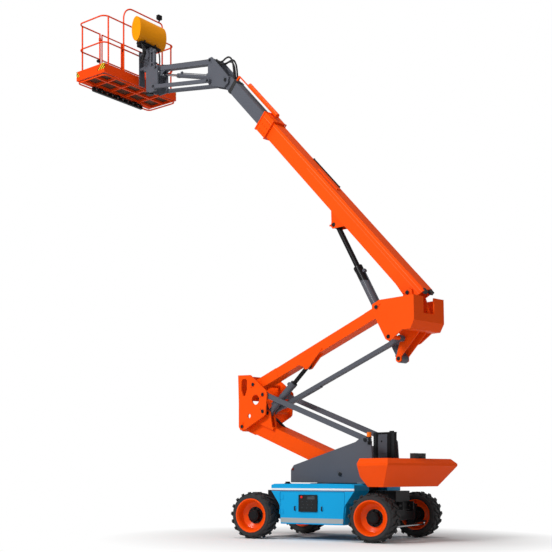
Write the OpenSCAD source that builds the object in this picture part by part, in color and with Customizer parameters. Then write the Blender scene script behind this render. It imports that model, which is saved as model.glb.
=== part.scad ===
// Articulating boom lift: twin synchronised risers, telescopic boom, jib and work platform.
// Frame: +X towards the boom end, +Y left, +Z up, origin on the ground under the slew axis.
// The upper works are drawn in the boom's own frame and turned by the slew angle.

/* [Wheels and chassis] */
// distance between the axles
wheelbase = 2500; // [2000:10:3000]
// distance between the tyres' centre planes
track = 2090; // [1700:10:2400]
// tyre diameter over the lugs
tyre_d = 900; // [700:10:1100]
// tyre width
tyre_w = 335; // [240:5:420]
// height of one tyre lug
lug_h = 24; // [10:1:40]
// rim flange diameter
rim_d = 640; // [500:5:700]
// height of the chassis deck
deck_z = 1030; // [900:5:1200]
// outer face of the side compartments, from the centre line
side_y = 1080; // [900:5:1200]
// half length of a side compartment at its foot
side_half = 680; // [500:5:760]
// half length of a side compartment under its top lip
lip_half = 868; // [700:5:900]
// height of the compartments' lower edge
side_z0 = 300; // [200:5:500]
// height of the lip above the doors
lip_z = 915; // [800:5:980]
// thickness of a door and of a compartment wall
wall = 30; // [15:1:50]
// kingpin distance from the centre line
kingpin_y = 825; // [700:5:900]
// bore radius of the tie-down lugs
tie_r = 25; // [15:1:40]
// plate thickness of the tie-down lugs
tie_t = 30; // [15:1:50]

/* [Turntable] */
// slew angle of the upper works in the photo
slew = -15.2; // [-180:0.1:180]
// underside of the turntable base
table_z = 1080; // [1040:1:1200]
// outer face of the turntable plates, from the boom plane
table_y = 400; // [300:5:500]
// turntable and head plate thickness
plate_t = 30; // [15:1:50]
// counterweight half width at its ridge
cw_half = 1040; // [800:5:1200]
// counterweight underside
cw_z0 = 1015; // [1000:1:1100]
// counterweight top
cw_z1 = 1530; // [1300:5:1700]
// rear of the counterweight
cw_x0 = -2070; // [-2400:5:-1800]

/* [Risers] */
// angle of both risers in the photo
riser_a = 20.2; // [0:0.1:60]
// lower riser, pin to pin
lower_len = 2880; // [2000:10:3500]
// upper riser, pin to pin
upper_len = 3500; // [2500:10:4200]
// lower riser depth
lower_h = 300; // [200:5:400]
// upper riser depth
upper_h = 205; // [150:5:300]
// pin radius at the risers' joints
pin_r = 36; // [20:1:60]
// radial gap between a pin and its bore
pin_gap = 0.8; // [0.3:0.1:5]
// wall of the riser and boom boxes
box_t = 12; // [6:1:20]

/* [Boom and fly] */
// boom angle in the photo
boom_a = 46; // [0:0.5:75]
// boom length from its pivot to the collar's front
boom_len = 5560; // [4000:10:7000]
// boom width
boom_w = 290; // [200:5:400]
// boom depth
boom_h = 330; // [250:5:450]
// pivot height above the boom's lower face
boom_drop = 85; // [60:5:200]
// gap between the boom and the fly all round
slide_gap = 22; // [15:1:40]
// running gap between a slide pad or gland and what slides in it
run_gap = 0.5; // [0.3:0.1:3]
// fly tip pivot distance from the boom pivot
fly_reach = 7150; // [6000:10:8000]
// length of fly kept inside the boom in the photo
fly_inside = 3860; // [3000:10:4500]

/* [Jib and platform] */
// jib angle in the photo
jib_a = 11.6; // [-60:0.1:60]
// jib length, pin to pin
jib_len = 1920; // [1200:10:2400]
// vertical distance between the jib's upper and lower pins
jib_gap = 460; // [300:5:600]
// platform yaw in the photo
plat_yaw = 8; // [-80:1:80]
// platform length across the boom
plat_l = 2460; // [1800:10:2600]
// platform depth
plat_w = 930; // [700:10:1000]
// jib's upper pin above the underside of the platform frame
plat_drop = 236; // [150:1:400]
// top rail height above the platform frame's underside
rail_h = 1350; // [1000:10:1500]
// rail tube radius
rail_r = 19; // [12:1:30]
// bend radius of the rails in plan
bend_r = 150; // [60:5:250]
// height of the guard loop above the top rail
loop_h = 410; // [200:10:600]
// half height of the control cover
cover_h = 285; // [150:5:350]
// half depth of the control cover
cover_w = 145; // [80:5:150]
// rotator axis to the platform's rear edge
plat_back = 275; // [250:5:400]

/* [Hidden] */
$fn = 32;
axle_x = wheelbase / 2;
wheel_y = track / 2;
wheel_r = tyre_d / 2;
rim_r = rim_d / 2;

function dir(a) = [cos(a), sin(a)];
function nrm(a) = [-sin(a), cos(a)];
function along(p, a, u, n = 0) = p + u * dir(a) + n * nrm(a);

// riser linkage, in the boom plane: [x, z]
T1 = [-430, 1243];
link_v1 = [-610, 640];
T2 = T1 + link_v1;
K1 = along(T1, riser_a, lower_len);
K2 = K1 + link_v1;
K3 = K1 + [-327, 861];
link_v2 = [-275, -566];
K4 = K3 + link_v2;
H3 = along(K3, 180 - riser_a, upper_len);
H4 = H3 + link_v2;
B0 = K1 + [-633, 263];
B1 = K3 + [-1373, 292];
P = H3 + [-511, 233];
E0 = H3 + [-161, -922];

// boom, fly, jib
function on_boom(u, n = 0) = along(P, boom_a, u, n);
fly_w = boom_w - 2 * box_t - 2 * slide_gap;
fly_h = boom_h - 2 * box_t - 2 * slide_gap;
boom_c = boom_h / 2 - boom_drop;
lug_u = 2500;
lug_n = -290;
E1 = on_boom(lug_u, lug_n);
J0 = on_boom(fly_reach, boom_c + 14);
JU = J0 + [498, 562];
JL = JU - [0, jib_gap];
SU = along(JU, jib_a, jib_len);
SL = SU - [0, jib_gap];
JC0 = JU + [60, -330];
JC1 = along(JU, jib_a, 1830, -131);
rot_x = SU[0] + 430;
plat_z = SU[1] - plat_drop;

// lateral places in the boom plane
arm_y0 = 30;
arm_y1 = 280;
arm_y = (arm_y0 + arm_y1) / 2;
link_y0 = 30;
link_y1 = 135;
bar_y0 = 300;
bar_y1 = 358;
lift_y = -115;
lift_eye = 178;
riser_y = 215;
riser_eye = 78;
ear_t = 25;
knuckle_y = 400;
head_y = 450;
ear_gap = 6;

// which node to draw

orange = [0.93, 0.36, 0.05];
red_orange = [0.85, 0.22, 0.06];
grey = [0.42, 0.44, 0.48];
dark = [0.10, 0.10, 0.11];
blue = [0.09, 0.35, 0.60];
yellow = [0.95, 0.62, 0.05];
steel = [0.75, 0.76, 0.78];

// Shared shapes
module boom_frame() {
  rotate([0, 0, slew]) children();
}

// plate in the boom plane: outline in [x, z], between two widths
module plate(pts, y0, y1) {
  translate([0, y1, 0]) rotate([90, 0, 0]) linear_extrude(y1 - y0) polygon(pts);
}

// pin, boss or bore across the boom plane
module pin(p, r, y0, y1) {
  translate([p[0], y1, p[1]]) rotate([90, 0, 0]) cylinder(r = r, h = y1 - y0, $fn = 48);
}

// local frame at a point of the boom plane, x along an angle
module at(p, a) {
  translate([p[0], 0, p[1]]) rotate([0, -a, 0]) children();
}

// straight bar between two points of the boom plane
module bar(a, b, y0, y1, h, start = 0) {
  d = b - a;
  at(a, atan2(d[1], d[0])) translate([start, y0, -h / 2]) cube([norm(d) - 2 * start, y1 - y0, h]);
}

// hollow box along local x
module box_tube(u0, u1, y0, y1, z0, z1, t) {
  difference() {
    translate([u0, y0, z0]) cube([u1 - u0, y1 - y0, z1 - z0]);
    translate([u0 - 1, y0 + t, z0 + t]) cube([u1 - u0 + 2, y1 - y0 - 2 * t, z1 - z0 - 2 * t]);
  }
}

// round rod between two points in space
module rod3(a, b, r) {
  d = b - a;
  len = norm(d);
  translate(a) rotate([0, acos(d[2] / len), atan2(d[1], d[0])]) cylinder(r = r, h = len, $fn = 24);
}

// Wheels, drawn with the axle along +y and the outer side at +y
module tyre_shape() {
  carcass_r = wheel_r - lug_h;
  hw = tyre_w / 2;
  rotate([-90, 0, 0]) rotate_extrude($fn = 48)
    polygon([[rim_r - 20, -hw + 30], [rim_r + 10, -hw], [carcass_r - 40, -hw], [carcass_r, -hw + 35],
      [carcass_r, hw - 35], [carcass_r - 40, hw], [rim_r + 10, hw], [rim_r - 20, hw - 30]]);
  lugs = 18;
  for (i = [0 : lugs - 1], s = [-1, 1])
    rotate([0, (i + (s + 1) / 4) * 360 / lugs, 0])
      translate([0, s * (hw / 2 - 1), carcass_r + lug_h / 2 - 4])
        rotate([0, 0, s * 28]) cube([58, hw + 4, lug_h + 6], center = true);
}

module rim_shape() {
  hw = tyre_w / 2;
  rotate([-90, 0, 0]) rotate_extrude($fn = 48)
    polygon([[rim_r - 20, -hw + 30], [rim_r - 20, hw - 30], [rim_r + 8, hw - 2], [rim_r + 8, hw + 8],
      [rim_r - 12, hw + 8], [rim_r - 38, hw - 40], [rim_r - 62, 20], [170, -22], [118, -22], [118, -42],
      [180, -42], [rim_r - 45, -8], [rim_r - 38, -hw + 30]]);
  for (i = [0 : 8]) rotate([0, i * 40, 0]) translate([140, -24, 0]) rotate([-90, 0, 0])
    cylinder(r = 16, h = 38, $fn = 6);
}

module hub_shape() {
  rotate([-90, 0, 0]) rotate_extrude($fn = 48)
    polygon([[0, -tyre_w / 2], [100, -tyre_w / 2], [100, -62], [150, -62], [150, -42], [118, -42],
      [118, -22], [112, 0], [112, 70], [78, 92], [0, 92]]);
}

module place_wheel(sx, sy) {
  translate([sx * axle_x, sy * wheel_y, wheel_r]) rotate([0, 0, sy > 0 ? 0 : 180]) children();
}

module front_left_tyre() { color(dark) place_wheel(1, 1) tyre_shape(); }
module front_right_tyre() { color(dark) place_wheel(1, -1) tyre_shape(); }
module rear_left_tyre() { color(dark) place_wheel(-1, 1) tyre_shape(); }
module rear_right_tyre() { color(dark) place_wheel(-1, -1) tyre_shape(); }
module front_left_rim() { color(orange) place_wheel(1, 1) rim_shape(); }
module front_right_rim() { color(orange) place_wheel(1, -1) rim_shape(); }
module rear_left_rim() { color(orange) place_wheel(-1, 1) rim_shape(); }
module rear_right_rim() { color(orange) place_wheel(-1, -1) rim_shape(); }
module front_left_hub() { color(dark) place_wheel(1, 1) hub_shape(); }
module front_right_hub() { color(dark) place_wheel(1, -1) hub_shape(); }
module rear_left_hub() { color(dark) place_wheel(-1, 1) hub_shape(); }
module rear_right_hub() { color(dark) place_wheel(-1, -1) hub_shape(); }

// Chassis
frame_y = 420;
end_y = 330;
end_z0 = 560;
end_z1 = 930;
end_x = axle_x + 120;
ring_r = 410;
ring_h = 27.5;

module tie_lug(sx, sy) {
  difference() {
    translate([sx * end_x - (sx > 0 ? 0 : 110), sy * 250 - tie_t / 2, end_z0 + 20]) cube([110, tie_t, 150]);
    translate([sx * (end_x + 60), sy * 250 + tie_t, end_z0 + 95]) rotate([90, 0, 0])
      cylinder(r = tie_r, h = 2 * tie_t, $fn = 48);
  }
}

module chassis_frame() {
  color(dark) {
    translate([-side_half, -frame_y, side_z0 + 60])
      cube([2 * side_half, 2 * frame_y, deck_z - side_z0 - 90]);
    translate([-700, -frame_y, deck_z - 30]) cube([1400, 2 * frame_y, 30]);
    translate([0, 0, deck_z]) cylinder(r = ring_r, h = ring_h, $fn = 96);
    for (sx = [-1, 1]) {
      translate([sx > 0 ? side_half : -end_x, -end_y, end_z0])
        cube([end_x - side_half, 2 * end_y, end_z1 - end_z0]);
      for (sy = [-1, 1]) tie_lug(sx, sy);
    }
  }
}

side_pts = [[side_half, side_z0], [side_half + 30, 690], [lip_half, 930], [lip_half, 1040],
  [lip_half - 70, 1062], [-lip_half + 70, 1062], [-lip_half, 1040], [-lip_half, 930],
  [-side_half - 20, 690], [-side_half + 30, side_z0]];
bay_pts = [[side_half - wall, side_z0 + wall], [side_half - wall, 690], [side_half + 40, lip_z],
  [-side_half - 40, lip_z], [-side_half + wall, 690], [-side_half + wall + 30, side_z0 + wall]];
door_x0 = -side_half + 10;
door_x1 = side_half - 6;
door_pts = [[door_x1 - 16, side_z0 + 10], [door_x1, 690], [door_x1, lip_z - 5], [door_x0, lip_z - 5],
  [door_x0, 690], [door_x0 + 30, side_z0 + 10]];

// left side bay; the right one is its mirror image
module compartment_shape() {
  face_y = side_y - wall - run_gap;
  difference() {
    plate(side_pts, frame_y, face_y);
    plate(bay_pts, frame_y + wall, side_y);
  }
  plate([[lip_half, 930], [lip_half, 1040], [lip_half - 70, 1062], [-lip_half + 70, 1062],
    [-lip_half, 1040], [-lip_half, 930], [-lip_half + 10, lip_z], [lip_half - 10, lip_z]], face_y, side_y);
  plate([[side_half + 2, lip_z], [side_half + 2, 630], [side_half + 28, 690], [lip_half - 10, lip_z]],
    face_y, side_y);
  plate([[door_x0 - 6, lip_z], [door_x0 - 6, 630], [-side_half - 18, 690], [-lip_half + 10, lip_z]],
    face_y, side_y);
}

hinge_x = door_x1 + 4;
hinge_y = side_y + 12;

module door_shape() {
  plate(door_pts, side_y - wall, side_y);
  for (z = [side_z0 + 190, lip_z - 150]) {
    translate([hinge_x, hinge_y, z]) cylinder(r = 9, h = 90, $fn = 24);
    translate([hinge_x - 70, side_y - 1, z + 5]) cube([66, 9, 80]);
  }
}

module left_compartment() { color(blue) compartment_shape(); }
module right_compartment() { color(blue) mirror([0, 1, 0]) compartment_shape(); }
panel_x = 75;
panel_z = 700;

module left_door() {
  color(blue) {
    door_shape();
    translate([panel_x - 191, side_y, panel_z - 151]) cube([382, 8, 302]);
    for (x = [355, -212]) translate([x - 20, side_y, 570]) cube([40, 18, 60]);
  }
}

module right_door() {
  color(blue) {
    mirror([0, 1, 0]) door_shape();
    for (x = [355, -212]) translate([x - 20, -side_y - 18, 570]) cube([40, 18, 60]);
  }
}

block_y0 = frame_y + wall;

module engine_block() {
  color(dark) translate([-480, -block_y0 - 480, side_z0 + wall]) cube([960, 480, 460]);
}

// Axles and steering
seat_y = wheel_y - tyre_w / 2 - run_gap;
drive_half = seat_y;

module drive_axle() {
  color(dark) {
    translate([axle_x - 90, -drive_half, wheel_r - 95]) cube([180, 2 * drive_half, 190]);
    translate([axle_x - 110, -200, wheel_r]) cube([220, 400, end_z0 - wheel_r]);
    for (s = [-1, 1]) translate([axle_x, s * (drive_half - 110), wheel_r]) rotate([-90, 0, 0])
      translate([0, 0, s > 0 ? 0 : -110]) cylinder(r = 125, h = 110, $fn = 48);
  }
}

yoke_h = 215;
yoke_t = 50;

module steer_axle() {
  color(dark) {
    translate([-axle_x - 80, -680, wheel_r - 85]) cube([160, 1360, 170]);
    translate([-axle_x - 110, -200, wheel_r]) cube([220, 400, end_z0 - wheel_r]);
    for (s = [-1, 1]) {
      translate([-axle_x - 70, s > 0 ? 640 : -700, wheel_r - yoke_h]) cube([140, 60, 2 * yoke_h]);
      for (z = [-yoke_h, yoke_h - yoke_t])
        difference() {
          union() {
            translate([-axle_x - 70, s > 0 ? 690 : -kingpin_y, wheel_r + z])
              cube([140, kingpin_y - 690, yoke_t]);
            translate([-axle_x, s * kingpin_y, wheel_r + z]) cylinder(r = 70, h = yoke_t, $fn = 48);
          }
          translate([-axle_x, s * kingpin_y, wheel_r + z - 1])
            cylinder(r = 30 + pin_gap, h = yoke_t + 2, $fn = 48);
        }
    }
  }
}

tie_x = -220;

// steering knuckle: kingpin post, spindle flange and steering arm
module knuckle_shape(s) {
  translate([-axle_x, s * kingpin_y, wheel_r - yoke_h - 15]) cylinder(r = 30, h = 2 * yoke_h + 30, $fn = 48);
  translate([-axle_x, s * kingpin_y, wheel_r - yoke_h + yoke_t + 6])
    cylinder(r = 45, h = 2 * (yoke_h - yoke_t - 6), $fn = 48);
  spindle = seat_y - kingpin_y;
  translate([-axle_x, s * kingpin_y, wheel_r]) rotate([s > 0 ? -90 : 90, 0, 0])
    cylinder(r = 92, h = spindle, $fn = 48);
  difference() {
    hull() {
      translate([-axle_x, s * kingpin_y, wheel_r - 140]) cylinder(r = 50, h = 40);
      translate([-axle_x + tie_x, s * kingpin_y, wheel_r - 140]) cylinder(r = 34, h = 40);
    }
    translate([-axle_x + tie_x, s * kingpin_y, wheel_r - 150])
      cylinder(r = 14 + pin_gap, h = 60, $fn = 48);
  }
}

module left_knuckle() { color(dark) knuckle_shape(1); }
module right_knuckle() { color(dark) knuckle_shape(-1); }

module tie_rod() {
  color(steel) {
    y = kingpin_y;
    z = wheel_r - 175;
    translate([-axle_x + tie_x, -y, z]) rotate([-90, 0, 0]) cylinder(r = 18, h = 2 * y, $fn = 24);
    for (s = [-1, 1]) translate([-axle_x + tie_x, s * y, z - 18]) cylinder(r = 14, h = 92, $fn = 48);
  }
}

// Turntable
table_in = table_y - plate_t;
table_pts = [[870, table_z], [870, 1330], [790, 1425], [-800, 1850], [-960, 1950], [-1110, 1950],
  [-1172, 1860], [-1200, 1545], [-1640, 1420], [-1640, table_z]];

module turntable_frame() {
  boom_frame() color(grey) {
    ring_z = deck_z + ring_h + run_gap;
    translate([0, 0, ring_z]) cylinder(r = ring_r - 20, h = table_z - ring_z + 1, $fn = 96);
    translate([-1400, -table_in, table_z]) cube([2270, 2 * table_in, 40]);
    for (s = [-1, 1]) {
      plate(table_pts, s > 0 ? table_in : -table_y, s > 0 ? table_y : -table_in);
      pin(T2, pin_r, s > 0 ? bar_y0 - 6 : -table_y - 12, s > 0 ? table_y + 12 : -bar_y0 + 6);
    }
    pin(T1, pin_r, -table_y - 12, table_y + 12);
    translate([770, -table_in, table_z + 39]) cube([40, 2 * table_in, 36]);
  }
}

cw_slot = table_y;
// the lift cylinder's ears reach this far either side of it
ear_out = lift_eye / 2 + ear_gap + ear_t;

module counterweight() {
  boom_frame() color(orange) difference() {
    intersection() {
      translate([-1000, 0, 0]) rotate([90, 0, -90]) linear_extrude(1400)
        polygon([[-812, cw_z0], [812, cw_z0], [cw_half, 1395], [cw_half, 1440], [940, cw_z1],
          [-940, cw_z1], [-cw_half, 1440], [-cw_half, 1395]]);
      plate([[-1440, cw_z0], [-1790, cw_z0], [cw_x0, 1400], [cw_x0, 1440], [cw_x0 + 80, cw_z1],
        [-1330, cw_z1], [-1240, 1440], [-1240, 1400]], -cw_half, cw_half);
      translate([0, 0, cw_z0 - 1]) linear_extrude(cw_z1 - cw_z0 + 2)
        polygon([[-1240, -500], [-1380, -cw_half - 10], [cw_x0 - 10, -cw_half - 10], [cw_x0 - 10, cw_half + 10],
          [-1380, cw_half + 10], [-1240, 500]]);
    }
    translate([-1640, -cw_slot, cw_z0 - 1]) cube([700, 2 * cw_slot, 800]);
    translate([-1830, -head_y - 20, 1425]) cube([940, 2 * head_y + 40, 300]);
    translate([-1925, lift_y - ear_out - 15, 1240]) cube([300, 2 * ear_out + 30, 400]);
  }
}

module cabinet() {
  boom_frame() color(dark) {
    translate([-1230, -288, table_z + 40.3]) cube([490, 78, 920]);
    translate([-1150, -215, 1640]) cube([330, 11, 330]);
    translate([-1200, -250, table_z + 955]) cube([90, 30, 30]);
  }
}

beacon_y = table_y + 57;

module beacon() {
  boom_frame() color(orange) {
    translate([-1165, table_y + 0.3, 1790]) cube([60, 12, 60]);
    translate([-1205, table_y + 0.3, 1838]) cube([100, 80, 12]);
    translate([-1175, beacon_y, 1845]) cylinder(r = 14, h = 75, $fn = 24);
    translate([-1175, beacon_y, 1915]) cylinder(r = 52, h = 16, $fn = 48);
    translate([-1175, beacon_y, 1930]) cylinder(r1 = 46, r2 = 40, h = 90, $fn = 48);
  }
}

module rest_blocks() {
  boom_frame() color(dark) for (s = [-1, 1])
    translate([-1985, s > 0 ? 40 : lift_y - 60, cw_z1]) cube([105, 115, 96]);
}

// Risers
module arm_end(p, r, y0, y1) {
  difference() {
    pin(p, r, y0, y1);
    pin(p, pin_r + pin_gap, y0 - 1, y1 + 1);
  }
}

low_y = 220;
low_z0 = -75;
// how far an eye or boss stands proud of its bar
boss = 4;

module lower_arm() {
  boom_frame() color(orange) {
    difference() {
      union() {
        at(T1, riser_a) box_tube(0, lower_len - 60, -low_y, low_y, low_z0, low_z0 + lower_h, box_t);
        at(T1, riser_a) translate([-90, -low_y, low_z0]) cube([190, 2 * low_y, 240]);
        at(T1, riser_a) translate([lower_len - 240, -low_y, low_z0 - 20]) cube([300, 2 * low_y, 180]);
        pin(T1, 105, -table_in + ear_gap, table_in - ear_gap);
        pin(K1, 100, -knuckle_y + plate_t + ear_gap, knuckle_y - plate_t - ear_gap);
        for (y = [riser_y - riser_eye / 2 - ear_gap - ear_t, riser_y + riser_eye / 2 + ear_gap]) {
          plate([B0 + [70, 20], B0 + [0, 70], B0 + [-70, 20], along(T1, riser_a, 2130, 200),
            along(T1, riser_a, 2550, 200)], y, y + ear_t);
        }
        at(T1, riser_a) translate([2110, riser_y - riser_eye / 2 - ear_gap - ear_t - boss, low_z0 + lower_h - 45])
          cube([460, riser_eye + 2 * (ear_gap + ear_t + boss), 45 + 3 * boss]);
      }
      pin(T1, pin_r + pin_gap, -500, 500);
      pin(K1, pin_r + pin_gap, -500, 500);
    }
    pin(B0, ram_pin_r, riser_y + riser_eye / 2 + ear_gap + 2, riser_y + riser_eye / 2 + ear_gap + ear_t + 8);
  }
}

module lower_link() {
  boom_frame() color(grey) {
    for (s = [-1, 1]) {
      y0 = s > 0 ? bar_y0 : -bar_y1;
      y1 = s > 0 ? bar_y1 : -bar_y0;
      difference() {
        union() {
          bar(T2, K2, y0 + boss, y1 - boss, 100, pin_r + boss);
          pin(T2, 68, y0, y1);
          pin(K2, 68, y0, y1);
        }
        pin(T2, pin_r + pin_gap, y0 - 1, y1 + 1);
        pin(K2, pin_r + pin_gap, y0 - 1, y1 + 1);
      }
    }
  }
}

knuckle_pts = [K1 + [-80, -60], K1 + [60, -75], K1 + [110, 0], K1 + [110, 500], K1 + [130, 1080],
  K1 + [-230, 1065], K1 + [-330, 985], K3 + [-120, 40], K2 + [-100, 60], K2 + [-110, -20],
  K4 + [-80, -60], K4 + [-30, -100]];

module knuckle() {
  boom_frame() color(orange) {
    for (s = [-1, 1]) {
      y0 = s > 0 ? knuckle_y - plate_t : -knuckle_y;
      y1 = y0 + plate_t;
      difference() {
        plate(knuckle_pts, y0, y1);
        if (s > 0) {
          plate([K1 + [-20, 640], K1 + [30, 760], K1 + [25, 960], K1 + [-10, 995], K1 + [-105, 995],
            K1 + [-140, 960], K1 + [-135, 760], K1 + [-80, 640]], y0 - 1, y1 + 1);
          pin(K1 + [-390, 545], 105, y0 - 1, y1 + 1);
          pin(K1 + [-205, 215], 45, y0 - 1, y1 + 1);
        }
      }
      pin(K2, pin_r, s > 0 ? bar_y0 - 6 : -knuckle_y - 12, s > 0 ? knuckle_y + 12 : -bar_y0 + 6);
    }
    pin(K1, pin_r, -knuckle_y - 12, knuckle_y + 12);
    pin(K3, pin_r, -knuckle_y - 12, knuckle_y + 12);
    pin(K4, pin_r, -knuckle_y - 12, link_y1 + 2);
    plate([K1 + [85, 560], K1 + [110, 560], K1 + [128, 1075], K1 + [100, 1075]],
      -knuckle_y + plate_t, knuckle_y - plate_t);
  }
}

up_a = 180 - riser_a;
up_z0 = -105;

module upper_arm() {
  boom_frame() color(orange) difference() {
    union() {
      at(K3, up_a) box_tube(60, upper_len - 60, arm_y0 + 2 * boss, arm_y1 - 2 * boss, -(up_z0 + upper_h), -up_z0,
        box_t);
      at(K3, up_a) translate([-20, arm_y0 + boss, -106]) cube([620, arm_y1 - arm_y0 - 2 * boss, 212]);
      at(K3, up_a) translate([upper_len - 420, arm_y0 + boss, -103]) cube([430, arm_y1 - arm_y0 - 2 * boss, 206]);
      pin(K3, 112, arm_y0, arm_y1);
      pin(H3, 110, arm_y0, arm_y1);
      for (y = [riser_y - riser_eye / 2 - ear_gap - ear_t, riser_y + riser_eye / 2 + ear_gap])
        plate([B1 + [75, -10], B1 + [30, -70], B1 + [-50, -60], along(K3, up_a, 1900, 60),
          along(K3, up_a, 1150, 60)], y, y + ear_t);
    }
    pin(K3, pin_r + pin_gap, arm_y0 - 1, arm_y1 + 1);
    pin(H3, pin_r + pin_gap, arm_y0 - 1, arm_y1 + 1);
  }
  boom_frame() color(orange)
    pin(B1, ram_pin_r, riser_y - riser_eye / 2 - ear_gap - ear_t - boss,
      riser_y + riser_eye / 2 + ear_gap + ear_t + boss);
}

module upper_link() {
  boom_frame() color(grey) difference() {
    union() {
      bar(K4, H4, link_y0 + boss, link_y1 - boss, 76, pin_r + boss);
      at(K4, up_a) translate([300, link_y0 + 2 * boss, -30]) cube([1100, link_y1 - link_y0 - 4 * boss, 84]);
      pin(K4, 60, link_y0, link_y1);
      pin(H4, 60, link_y0, link_y1);
    }
    pin(K4, pin_r + pin_gap, link_y0 - 1, link_y1 + 1);
    pin(H4, pin_r + pin_gap, link_y0 - 1, link_y1 + 1);
  }
}

head_pts = [H3 + [110, -60], H3 + [105, 60], H3 + [-60, 125], H3 + [-836, 130], H3 + [-848, -316],
  H3 + [-764, -467], H3 + [-575, -467], H4 + [-60, -60], H4 + [0, -78], H4 + [66, -40]];
boom_ear_y = boom_w / 2 + 15;

module head() {
  boom_frame() color(orange) {
    for (s = [-1, 1]) {
      plate(head_pts, s > 0 ? head_y - plate_t : -head_y, s > 0 ? head_y : -head_y + plate_t);
      plate([P + [-110, -60], P + [-80, 55], P + [0, 95], P + [80, 55], P + [110, -60], P + [140, -420],
        H3 + [-764, -440], H3 + [-820, -316]], s > 0 ? boom_ear_y : -boom_ear_y - 35,
        s > 0 ? boom_ear_y + 35 : -boom_ear_y);
    }
    difference() {
      plate([H3 + [-846, -316], H3 + [-834, 128], H3 + [-806, 128], H3 + [-818, -310], H3 + [-740, -440],
        H3 + [-575, -440], H3 + [-575, -467], H3 + [-764, -467]], -head_y + plate_t, head_y - plate_t);
      translate([H3[0] - 900, -boom_ear_y + 1, H3[1] - 170]) cube([200, 2 * boom_ear_y - 2, 400]);
    }
    pin(H3, pin_r, lift_y + lift_eye / 2 + ear_gap - boss / 2, head_y + 12);
    pin(H4, pin_r, lift_y + lift_eye / 2 + ear_gap - boss / 2, head_y + 12);
    pin(P, pin_r, -boom_ear_y - 45, boom_ear_y + 45);
    plate([E0 + [70, 0], E0 + [50, 50], H4 + [60, 40], H3 + [-575, -440], H3 + [-640, -455],
      E0 + [-60, 40], E0 + [-60, -40], E0 + [0, -72], E0 + [55, -45]], lift_y - ear_out, lift_y - ear_out + ear_t);
    plate([E0 + [70, 0], E0 + [50, 50], H4 + [60, 40], H3 + [70, -40], H3 + [40, 70], H3 + [-60, 70],
      H3 + [-640, -300], H3 + [-640, -455], E0 + [-60, 40], E0 + [-60, -40], E0 + [0, -72], E0 + [55, -45]],
      lift_y + ear_out - ear_t, lift_y + ear_out);
    pin(E0, pin_r, lift_y - lift_eye / 2 - ear_gap - ear_t - 8, lift_y + lift_eye / 2 + ear_gap + ear_t);
  }
}

// Cylinders: barrel from a to its mouth, rod from inside the barrel to b
function seg_a(a, b) = atan2((b - a)[1], (b - a)[0]);

module barrel(a, b, y, r, len, eye_r, eye_w, bore_r, root, rod_r) {
  difference() {
    union() {
      at(a, seg_a(a, b)) translate([root, y, 0]) rotate([0, 90, 0]) cylinder(r = r, h = len - root, $fn = 48);
      at(a, seg_a(a, b)) translate([eye_r * 0.55, y - eye_w / 2 + boss, -eye_r * 0.8])
        cube([root + 20 - eye_r * 0.55, eye_w - 2 * boss, eye_r * 1.6]);
      pin(a, eye_r, y - eye_w / 2, y + eye_w / 2);
      at(a, seg_a(a, b)) translate([len - 70, y, 0]) rotate([0, 90, 0]) cylinder(r = r + 6, h = 70, $fn = 48);
    }
    if (bore_r > 0) pin(a, bore_r, y - eye_w, y + eye_w);
    at(a, seg_a(a, b)) translate([root + 30, y, 0]) rotate([0, 90, 0])
      cylinder(r = rod_r + run_gap, h = len, $fn = 48);
  }
}

module rod(a, b, y, r, back, eye_r, eye_w, bore_r) {
  len = norm(b - a);
  at(a, seg_a(a, b)) translate([back, y, 0]) rotate([0, 90, 0]) cylinder(r = r, h = len - back - eye_r + 8, $fn = 48);
  difference() {
    pin(b, eye_r, y - eye_w / 2, y + eye_w / 2);
    pin(b, bore_r, y - eye_w, y + eye_w);
  }
}

riser_barrel_len = 890;
lift_barrel_len = 2150;
jib_barrel_len = 1280;

ram_pin_r = 40;
riser_rod_r = 42;
lift_rod_r = 52;
jib_rod_r = 26;
jib_pin_r = 28;
jib_eye_r = 22;

module riser_barrel() {
  boom_frame() color(grey)
    barrel(B0, B1, riser_y, 68, riser_barrel_len, 66, riser_eye, 0, 160, riser_rod_r);
}

module riser_rod() {
  boom_frame() color(dark) rod(B0, B1, riser_y, riser_rod_r, 420, 62, riser_eye, ram_pin_r + pin_gap);
}

module lift_barrel() {
  boom_frame() color(grey)
    barrel(E0, E1, lift_y, 84, lift_barrel_len, 78, lift_eye, pin_r + pin_gap, 90, lift_rod_r);
}

module lift_rod() {
  boom_frame() color(dark) rod(E0, E1, lift_y, lift_rod_r, 960, 68, lift_eye, 38);
}

// Boom
tail_pts = [[-230, boom_h - boom_drop - 6], [-185, 100], [-110, -boom_drop - 30], [60, -boom_drop - 30],
  [420, -boom_drop + 8], [420, boom_h - boom_drop - 6]];
collar_len = 330;
collar_t = 35;

module boom_side(pts, s) {
  in_y = boom_w / 2 - 16;
  out_y = boom_w / 2 + boss;
  plate([for (q = pts) on_boom(q[0], q[1])], s > 0 ? in_y : -out_y, s > 0 ? out_y : -in_y);
}

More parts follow.
